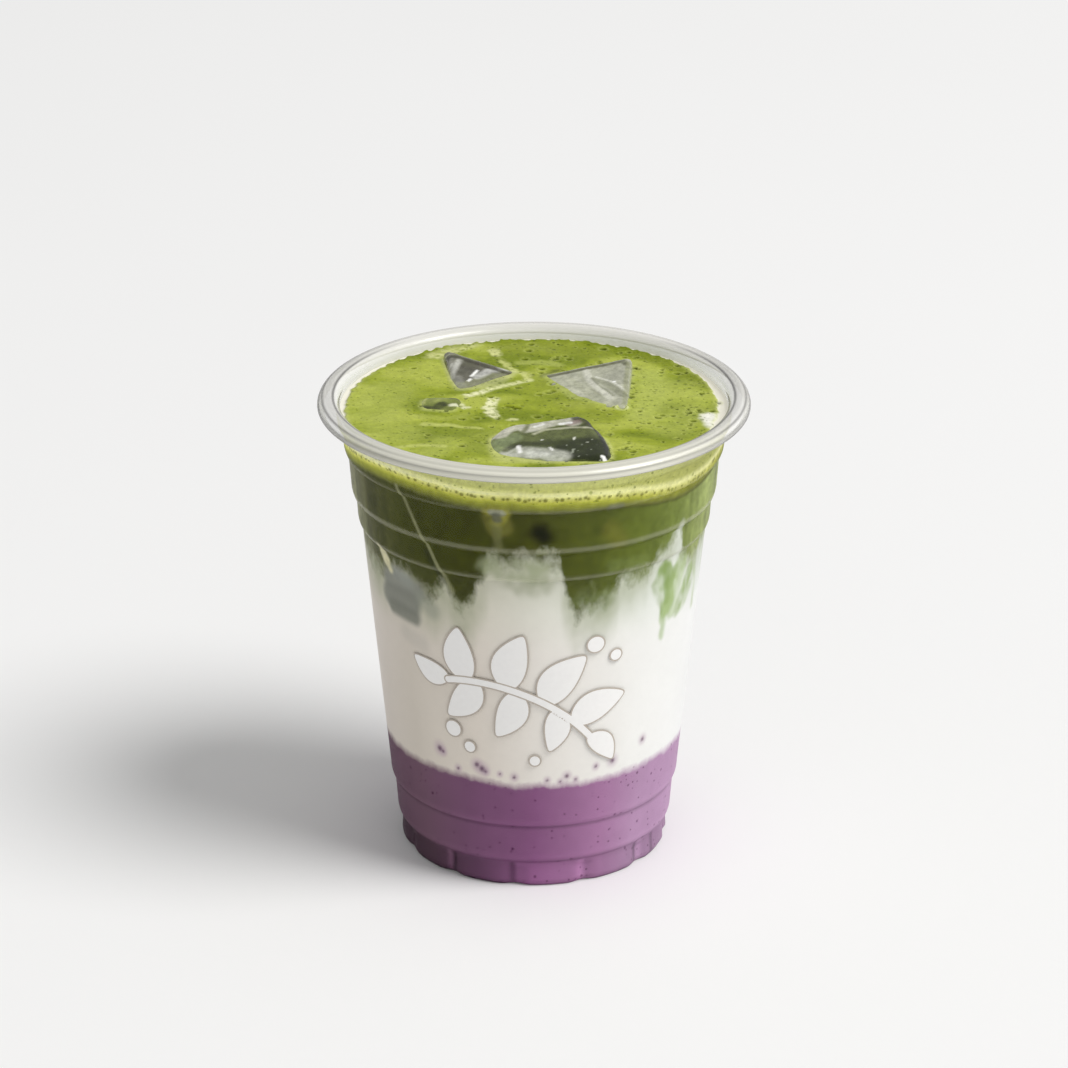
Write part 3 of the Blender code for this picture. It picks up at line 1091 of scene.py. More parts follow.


# Greys of the lip by the angle round its curl, painted reflections: light and dark lines that stand for the
# light its curl bends and throws back. 0 is outermost, 90 the top, 180 the inside

# First angle of the curl, the one after its last, and the step between its points
LIP_ANGLES = (-60, 181, 3)
LIP_START = 0.1060
LIP_FRONT = (
    (-60, 196),
    (-30, 222),
    (-12, 236),
    (8, 224),
    (17, 204),
    (22, 176),
    (26, 182),
    (31, 220),
    (38, 228),
    (46, 234),
    (52, 214),
    (58, 204),
    (70, 214),
    (76, 222),
    (84, 206),
    (92, 226),
    (100, 220),
    (108, 192),
    (180, 206),
)
LIP_SIDE = (
    (-60, 186),
    (0, 190),
    (10, 168),
    (20, 172),
    (27, 220),
    (34, 252),
    (40, 252),
    (47, 208),
    (54, 146),
    (58, 156),
    (63, 214),
    (70, 232),
    (80, 214),
    (92, 210),
    (102, 216),
    (108, 176),
    (114, 112),
    (118, 140),
    (124, 236),
    (131, 250),
    (180, 244),
)
LIP_BACK = (
    (60, 214),
    (68, 210),
    (74, 240),
    (82, 252),
    (90, 236),
    (98, 250),
    (108, 244),
    (114, 232),
    (122, 236),
    (180, 238),
)
LIP_DENSITY_FRONT = (
    (-60, 0.5),
    (-20, 0.75),
    (15, 0.8),
    (23, 0.95),
    (32, 0.75),
    (60, 0.8),
    (105, 0.85),
    (120, 0.6),
    (180, 0.35),
)
LIP_DENSITY_SIDE = (
    (-60, 0.35),
    (0, 0.45),
    (14, 0.55),
    (26, 0.3),
    (42, 0.3),
    (53, 0.7),
    (62, 0.5),
    (92, 0.45),
    (106, 0.6),
    (114, 0.9),
    (122, 0.5),
    (134, 0.35),
    (180, 0.2),
)
LIP_DENSITY_BACK = ((60, 0.5), (68, 0.8), (76, 0.55), (95, 0.5), (115, 0.6), (180, 0.4))
# Painted reflection on the neck under the lip, a pale veil: height and density at the front, the sides and
# the back
NECK_LOW = 0.1027
NECK_REFLECTION = (0.16, 0.35, 0.5)
NECK_COLOUR = (230, 228, 208)
# Painted highlights along the folds between the bands, which show more at the sides
FOLD_COLOUR = (206, 206, 176)
FOLD_STRENGTHS = (0.3, 0.85, 0.65)


# The pieces


class LATTE_OT_cup(bpy.types.Operator):
    """Clear cup with its rolled lip, banded wall and fluted foot"""

    bl_idname = "latte.cup"
    bl_label = "Cup"

    def execute(self, context):
        sizes = context.scene.latte_cup
        profile = []
        for angle in range(*LIP_ANGLES):
            turn = math.radians(angle)
            rise = sizes.lip_rise if angle > 0 else sizes.lip_drop
            profile.append(
                (
                    sizes.lip_radius + sizes.lip_reach * math.cos(turn),
                    sizes.lip_height + rise * math.sin(turn),
                )
            )
        profile += wall_profile(CUP_CORNER_STEPS)
        deselect()
        bpy.ops.mesh.primitive_circle_add(
            vertices=sizes.segments, radius=profile[0][0], location=(0.0, 0.0, profile[0][1])
        )
        cup = named("cup_wall")
        set_place(cup)
        edit(cup)
        for (radius, height), (next_radius, next_height) in zip(profile, profile[1:]):
            bpy.ops.mesh.extrude_region_move(
                TRANSFORM_OT_translate={"value": (0.0, 0.0, next_height - height)}
            )
            if next_radius > 0.0:
                grow = next_radius / radius
                bpy.ops.transform.resize(
                    value=(grow, grow, 1.0), center_override=(0.0, 0.0, next_height)
                )
            else:
                bpy.ops.mesh.merge(type="CENTER")
        leave()
        places = places_of(cup)
        flute(places)
        move_to(cup, places)
        merge_and_turn_out(cup)
        normals = normals_of(cup)
        places = places_of(cup)
        side = (places[:, 2] > 0.01) & (places[:, 2] < 0.1)
        if (normals[side, :2] * places[side, :2]).sum() < 0.0:
            edit(cup)
            bpy.ops.mesh.flip_normals()
            leave()
        apply_modifier(
            cup, "SOLIDIFY", thickness=sizes.wall, offset=-1.0, use_even_offset=True,
            use_quality_normals=True,
        )
        smooth(cup, 50.0)
        colours, painted_reflections = self.painted_reflections(sizes, places_of(cup))
        paint_on(cup, "painted_reflections", colours, painted_reflections)
        finish_piece(cup, clear_plastic(), "cup")
        return {"FINISHED"}

    def painted_reflections(self, sizes, places):
        """Colour of the painted reflections on the lip, the neck and the folds, and how dense they are."""
        radius = np.hypot(places[:, 0], places[:, 1])
        rise = places[:, 2] - sizes.lip_height
        lift = np.where(rise > 0.0, sizes.lip_rise, sizes.lip_drop)
        angle = np.degrees(np.arctan2(rise / lift, (radius - sizes.lip_radius) / sizes.lip_reach))
        turn = turn_between(azimuth_of(places), 0.0)
        front = ease((70.0 - turn) / 40.0)
        back = ease((turn - 105.0) / 40.0)
        side = 1.0 - front - back

        def round_lip(front_tones, side_tones, back_tones):
            values = [np.interp(angle, *zip(*t)) for t in (front_tones, side_tones, back_tones)]
            return values[0] * front + values[1] * side + values[2] * back

        shade = round_lip(LIP_FRONT, LIP_SIDE, LIP_BACK)
        warm = 0.97 - 0.035 * front
        colours = np.stack([np.array(linear((s, 0.992 * s, w * s))) for s, w in zip(shade, warm)])
        dense = round_lip(LIP_DENSITY_FRONT, LIP_DENSITY_SIDE, LIP_DENSITY_BACK)
        on_lip = ease((places[:, 2] - LIP_START) / MM)
        neck = NECK_REFLECTION[0] * front + NECK_REFLECTION[1] * side + NECK_REFLECTION[2] * back
        neck = neck * ease((places[:, 2] - NECK_LOW) / MM) * (1.0 - on_lip)
        folds = np.zeros(len(places))
        for band, strength in zip(BANDS[1:4], FOLD_STRENGTHS):
            fold = bell(places[:, 2] - band[3] + 1.6 * MM, 0.48 * MM)
            folds += strength * fold
        pale = (1.0 - on_lip)[:, None]
        colours += pale * (np.array(linear(NECK_COLOUR)) - colours)
        below = ease((NECK_LOW - places[:, 2]) / MM)[:, None]
        colours += below * (np.array(linear(FOLD_COLOUR)) - colours)
        return colours, dense * on_lip + neck + sizes.fold_highlight * folds * (1.0 + 0.5 * side)


def drink_wall(context):
    """Function that gives the radius of the drink's side at some heights."""
    depth = context.scene.latte_cup.wall - context.scene.latte_drink.into_wall
    radius, height = drink_profile(depth)[:-STANDING_POINTS][::-1].T

    def radius_at(heights):
        return np.interp(heights, height, radius)

    return radius_at


def level_row(surface, radius):
    """Row of a surface at one radius."""
    return lambda azimuth: (radius, surface(azimuth, radius))


def side_row(radius_at, low, high, share):
    """Row on the drink's side, at a share of the way up a layer."""
    def row(azimuth):
        height = low(azimuth) * (1.0 - share) + high(azimuth) * share
        return radius_at(height), height

    return row


def layer_rows(context, low, high, tallest):
    """Rows of a layer from the axis under it, up its side and back to the axis."""
    radius_at = drink_wall(context)
    count = round(tallest / context.scene.latte_drink.row_height)
    radii = (0.0, LEVEL_RADIUS / 2, LEVEL_RADIUS, FULL_SWELL_RADIUS)
    rows = [level_row(low, radius) for radius in radii]
    rows += [side_row(radius_at, low, high, number / count) for number in range(count + 1)]
    rows += [level_row(high, radius) for radius in radii[::-1]]
    return rows


class LATTE_OT_matcha(bpy.types.Operator):
    """Matcha with the fingers that sink from it into the milk"""

    bl_idname = "latte.matcha"
    bl_label = "Matcha"

    def execute(self, context):
        rows = layer_rows(context, MATCHA_BOUNDARY, FROTH_BOUNDARY, MATCHA_HEIGHT)
        piece = wrap("matcha_drink", rows, context.scene.latte_drink.segments)
        paint_side(piece)
        smooth(piece, 60.0)
        finish_piece(piece, drink_material("matcha", False), "matcha_layer")
        return {"FINISHED"}


class LATTE_OT_milk(bpy.types.Operator):
    """Milk between the taro and the matcha"""

    bl_idname = "latte.milk"
    bl_label = "Milk"

    def execute(self, context):
        rows = layer_rows(context, TARO_BOUNDARY, MATCHA_BOUNDARY, MILK_HEIGHT)
        piece = wrap("milk_drink", rows, context.scene.latte_drink.segments)
        marks = [((a * WALL_MM_PER_DEGREE, height), size) for a, height, size in TARO_FLECKS]
        halos = [Stroke((spot,), 0.3, 4.5 * size, (190, 162, 182), 0.55) for spot, size in marks]
        cores = [Stroke((spot,), 0.4 * size, 1.5 * size, (96, 62, 92), 0.8) for spot, size in marks]
        paint_side(piece, halos + cores)
        smooth(piece, 60.0)
        finish_piece(piece, drink_material("milk", False), "milk_layer")
        return {"FINISHED"}


class LATTE_OT_taro(bpy.types.Operator):
    """Taro paste at the bottom, down into the fluted foot"""

    bl_idname = "latte.taro"
    bl_label = "Taro"

    def execute(self, context):
        depth = context.scene.latte_cup.wall - context.scene.latte_drink.into_wall
        radius_at = drink_wall(context)
        foot = drink_profile(depth)[: -STANDING_POINTS - 1 : -1]
        low = drink_profile(depth)[-STANDING_POINTS - 1, 1]
        rows = [lambda azimuth, point=point: point for point in foot]
        count = round(TARO_HEIGHT / context.scene.latte_drink.row_height)
        rows += [
            side_row(radius_at, lambda azimuth: low, TARO_BOUNDARY, number / count)
            for number in range(count + 1)
        ]
        rows += [
            level_row(TARO_BOUNDARY, radius)
            for radius in (FULL_SWELL_RADIUS - 2 * MM, LEVEL_RADIUS, 0.0)
        ]
        piece = wrap("taro_drink", rows, context.scene.latte_drink.segments)
        paint_side(piece)
        smooth(piece, 60.0)
        finish_piece(piece, drink_material("taro", True), "taro_layer")
        return {"FINISHED"}


# Strokes on the foam by x and y, in millimetres

FOAM_STROKES = (
    # deeper green between the ice pieces and along the far edge
    Stroke(((-24, -14.5), (-16, -15.5), (-11, -19), (-12, -26)), 2.0, 4.0, (134, 148, 46), 0.65),
    Stroke(((3, 19), (6, 6), (14, -6)), 2.0, 5.0, (140, 152, 48), 0.55),
    Stroke(((-6, 38), (4, 38), (14, 35)), 2.0, 4.5, (136, 148, 44), 0.75),
    Stroke(((26, 33), (34, 24), (39, 14)), 1.2, 2.6, (130, 142, 40), 0.75),
    Stroke(((27, 20), (27, 4), (24, -6)), 1.5, 4.0, (184, 194, 96), 0.7),
    Stroke(((33, 12), (36, 0), (31, -14)), 2.5, 6.0, (180, 190, 90), 0.5),
    Stroke(((-33, 10), (-36, -6), (-30, -18)), 3.0, 6.0, (178, 188, 88), 0.55),
    Stroke(((-20, -22), (-22, -28)), 1.5, 4.0, (178, 188, 92), 0.5),
    # pale swirl lines
    Stroke(((-25, -11.3), (-18.2, -11.9), (-12.5, -14.2)), 0.3, 1.0, (196, 203, 112), 0.75),
    Stroke(((-30, -25.2), (-25, -24.2), (-20, -24.8)), 0.3, 1.0, (196, 203, 112), 0.7),
    Stroke(((-3.5, 28.4), (1.1, 28.9), (6, 26.5)), 0.4, 1.6, (178, 188, 92), 0.7),
    Stroke(((-15, -5), (-20, -8), (-26, -6)), 0.4, 1.6, (188, 196, 104), 0.25),
    # white foam at the right wall
    Stroke(((39.6, -6), (40.6, -9.5), (41.2, -12.5)), 1.2, 2.0, (250, 249, 236), 0.98),
    # dark smudge at the tip of the ice
    Stroke(((2.8, 20.0), (5.2, 23.0)), 0.4, 1.2, (92, 98, 42), 0.7),
)
CREAM_STROKES = (
    Stroke(((-15.4, 6.6), (-13.2, 7.6), (-10.4, 10.9)), 0.5, 1.2, (240, 240, 192), 0.95),
    Stroke(
        ((-10.4, 10.9), (-5.9, 13.7), (-3.1, 15.7), (-0.9, 16.8)), 0.35, 1.1, (228, 230, 170), 0.9,
    ),
    Stroke(((-9.2, 4.6), (-10.0, -0.6), (-9.1, -5.9)), 0.7, 1.1, (240, 240, 192), 0.95),
    Stroke(((-4.8, -8.3),), 0.5, 1.0, (226, 228, 164), 0.85),
    Stroke(
        ((-5.3, 24.8), (-3.8, 22.4), (-2.1, 21.2), (-1.4, 17.2)), 0.3, 1.2, (212, 216, 136), 0.8,
    ),
    Stroke(((-9.3, 36.1), (-8.8, 34.0)), 0.6, 1.4, (218, 220, 152), 0.85),
    Stroke(((-8.2, 31.4), (-5.3, 24.8)), 0.25, 1.0, (206, 211, 128), 0.8),
    Stroke(((-18.4, 1.0), (-16.6, 0.6), (-15.4, -1.0)), 0.4, 0.9, (232, 233, 188), 0.85),
    Stroke(((-23, 33), (-18.3, 37.7), (-14.5, 40.8)), 1.0, 2.4, (214, 216, 150), 0.8),
)
# Rows of faces on the foam's side, and in millimetres its wall and how far out its pits lie
FOAM_SIDE_ROWS = 28
FOAM_WALL = 43.95
PIT_REACH = 42.6
# An open tear in the foam and the ring of one large bubble: x, y, radius
TEAR = Stroke(((-6.1, 0.2), (-3.3, -1.1)), 0.22, 0.35, (52, 60, 16), 0.95)
RING = (19.8, -1.2, 1.35)

# Foam round each piece of ice: its colour and strength, and the colour of the well, which shows through the
# ice: painted shade, dark olive, under the front and small pieces, and grey under the back pieces
ICE_RIM = {
    "ice_front": ((208, 212, 136), 0.75, (58, 66, 26)),
    "ice_back_left": ((206, 208, 150), 0.7, (110, 112, 100)),
    "ice_back_right": ((200, 208, 130), 0.5, (150, 152, 132)),
    "ice_small": ((206, 212, 136), 0.6, (70, 80, 34)),
}


def cool_edge(azimuth):
    """How far inside the wall the foam ends, in millimetres."""
    right = bell(turn_between(azimuth, 88), 34.0)
    left = bell(turn_between(azimuth, -95), 36.0)
    back = bell(turn_between(azimuth, 180), 50.0)
    return 0.2 + 2.3 * right + 1.1 * left + 0.2 * back


class LATTE_OT_froth(bpy.types.Operator):
    """Matcha foam with its bubbles, swirls and the wells of the ice"""

    bl_idname = "latte.froth"
    bl_label = "Froth"

    def execute(self, context):
        drink = context.scene.latte_drink
        radius_at = drink_wall(context)
        rim = float(radius_at(SURFACE_HEIGHT))
        deselect()
        bpy.ops.mesh.primitive_circle_add(
            vertices=drink.foam_segments, radius=rim, location=(0.0, 0.0, SURFACE_HEIGHT)
        )
        piece = named("froth_foam")
        set_place(piece)
        edit(piece)
        bpy.ops.mesh.fill_grid(span=drink.foam_segments // 4)
        bpy.ops.mesh.select_all(action="SELECT")
        bpy.ops.mesh.region_to_loop()
        step = 1 * MM
        for _ in range(FOAM_SIDE_ROWS):
            bpy.ops.mesh.extrude_region_move(TRANSFORM_OT_translate={"value": (0, 0, -step)})
        for radius, next_radius in ((rim, FULL_SWELL_RADIUS), (FULL_SWELL_RADIUS, LEVEL_RADIUS)):
            bpy.ops.mesh.extrude_region_move(TRANSFORM_OT_translate={"value": (0, 0, -step)})
            shrink = next_radius / radius
            bpy.ops.transform.resize(
                value=(shrink, shrink, 1.0), center_override=(0.0, 0.0, SURFACE_HEIGHT)
            )
        bpy.ops.mesh.edge_face_add()
        leave()

        places = places_of(piece)
        rows = np.rint((SURFACE_HEIGHT - places[:, 2]) / step).astype(int)
        azimuth = azimuth_of(places)
        on_side = (rows > 0) & (rows <= FOAM_SIDE_ROWS)
        share = rows[on_side] / FOAM_SIDE_ROWS
        low = FROTH_BOUNDARY(azimuth[on_side])
        height = SURFACE_HEIGHT + (low - SURFACE_HEIGHT) * share
        turn = np.radians(azimuth[on_side])
        radius = radius_at(height)
        places[on_side] = np.stack(
            [radius * np.sin(turn), -radius * np.cos(turn), height], 1
        )
        under = rows > FOAM_SIDE_ROWS
        places[under, 2] = FROTH_BOUNDARY(
            azimuth[under], np.hypot(places[under, 0], places[under, 1])
        )
        top = rows == 0
        colours = paint_wall(places)[0]
        bubble_row(places, colours)
        foamy = np.ones(len(places))
        relief, colours[top], foamy[top] = self.surface(context, places[top])
        places[top, 2] += relief
        move_to(piece, places)
        merge_and_turn_out(piece)
        if len(piece.data.vertices) != len(colours):
            raise RuntimeError("The foam's points changed before it was painted")
        paint_on(piece, "drink", colours, foamy)
        smooth(piece, 60.0)
        finish_piece(piece, foam_material(), "froth")
        return {"FINISHED"}

    def surface(self, context, places):
        """Relief and colour of the foam's top, and where it is foamy."""
        drink = context.scene.latte_drink
        look = context.scene.latte_colours
        x = places[:, 0] / MM
        y = places[:, 1] / MM
        azimuth = azimuth_of(places)
        radius = np.hypot(x, y)
        warp = 3.0 * grain(places, 0.012, 2.2)
        swirled = places + np.stack([warp, -warp, 0 * warp], 1) * MM
        broad = grain(swirled, (0.015, 0.009, 0.02), 5.0)
        middle = grain(swirled, (0.006, 0.004, 0.01), 9.0)
        fine = grain(places, 0.0016, 4.0)
        tone = broad * 0.9 + middle * 0.45
        mid = np.array(look.foam)
        light = np.array(look.foam_light)
        dark = np.array(look.foam_dark)
        colours = np.where(
            (tone > 0)[:, None],
            mid + (light - mid) * ease(tone * 2.2)[:, None],
            mid + (dark - mid) * ease(-tone * 2.2)[:, None],
        )
        colours = colours * (1.0 + 0.07 * fine)[:, None]
        brush(colours, FOAM_STROKES, x + 0.9 * middle + 0.5 * fine, y + 0.9 * middle - 0.5 * fine)
        lumps = grain(places, 0.0008, 3.0)
        broken = (0.95 + 1.1 * lumps + 0.7 * fine).clip(0.1, 1.0)
        brush(colours, CREAM_STROKES, x + 0.8 * fine + 0.2 * lumps, y + 0.6 * fine, broken)
        relief = (0.16 * broad + 0.10 * middle + 0.035 * fine) * MM

        ragged = 0.55 * grain(places, 0.0019, 6.0) + 0.25 * grain(places, 0.0009, 2.0)
        inside = FOAM_WALL - radius - cool_edge(azimuth) - ragged
        bank = bell(inside, 1.6) * (inside > 0)
        back = ease((turn_between(azimuth, 0) - 90.0) / 50.0)
        lay_over(colours, bank * 0.7 * back, (122, 136, 34))
        fringe = bell(inside, 0.7) * (0.45 + 0.45 * fine)
        side = ease((cool_edge(azimuth) - 0.5) / 0.6)
        lay_over(colours, fringe * side, (206, 212, 132))
        gap = ease(-inside / 0.45 + 0.3)
        lay_over(colours, gap, (238, 235, 220))
        relief += (0.30 * bank * (0.5 + 0.5 * grain(places, 0.0014, 1.0)) - 0.25 * gap) * MM
        relief += 0.35 * MM * bell(FOAM_WALL - radius, 0.5)

        for name, block in ICE.items():
            rim_colour, rim_strength, well_colour = ICE_RIM[name]
            ice = bpy.data.objects[name + "_wet"]
            tree = BVHTree.FromObject(ice, bpy.context.evaluated_depsgraph_get())
            low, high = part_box(name)
            near = (
                (places[:, 0] > low.x - 2 * MM)
                & (places[:, 0] < high.x + 2 * MM)
                & (places[:, 1] > low.y - 2 * MM)
                & (places[:, 1] < high.y + 2 * MM)
            )
            away = np.full(len(places), 9.0)
            for index in np.flatnonzero(near):
                point = Vector(places[index])
                found, normal, _, distance = tree.find_nearest(point)
                away[index] = math.copysign(distance / MM, (point - found).dot(normal))
            relief *= 1.0 - 0.85 * bell(away, 1.4)
            skirt = bell(away, 0.55) * (away > -0.3)
            share = rim_strength * skirt * (0.75 + 0.25 * fine)
            lay_over(colours, share, rim_colour)
            relief += 0.12 * MM * skirt
            well = ease((-away - 0.55) / 0.6)
            relief += -drink.well_depth * well - relief * well
            # Paint the well that shows through the ice: painted shade under the front and small pieces
            lay_over(colours, well, well_colour)

        tear = ease(1.0 - (distance_to_line(TEAR.points, x, y) - TEAR.width) / TEAR.soft)
        lay_over(colours, TEAR.strength * tear, TEAR.colour)
        relief -= 0.5 * MM * tear
        ring = np.hypot(x - RING[0], y - RING[1])
        film = bell(ring - RING[2], 0.28)
        hollow = ease(1.0 - ring / (0.8 * RING[2]))
        lay_over(colours, 0.85 * film, (222, 226, 168))
        lay_over(colours, 0.6 * hollow, (104, 124, 40))
        relief += (0.35 * film - 0.3 * hollow) * MM

        draw = random.Random(12)
        for _ in range(drink.pits):
            angle = draw.uniform(0.0, math.tau)
            out = PIT_REACH * math.sqrt(draw.random())
            pit_x = out * math.cos(angle)
            pit_y = out * math.sin(angle)
            size = 0.34 + 0.42 * draw.random() ** 2.5
            if draw.random() > 0.45 + 0.012 * pit_x:
                continue
            # Open bubbles: each is pressed in and painted dark inside, partly the darker drink under the
            # foam and partly painted shade in the hole, with a paler ring painted round it
            distance = np.hypot(x - pit_x, y - pit_y) / size
            hole = ease((1.25 - distance) / 0.7) * (relief > -0.002)
            film = bell(distance - 1.6, 0.4) * (relief > -0.002)
            lay_over(colours, 0.3 * film, (198, 206, 116))
            lay_over(colours, 0.9 * hole, (62, 74, 16))
            relief -= 0.9 * size * MM * hole
        return relief, colours, 1.0 - gap


# Strokes on the ice by x and y, in millimetres, with how cloudy each is and how far it stands up

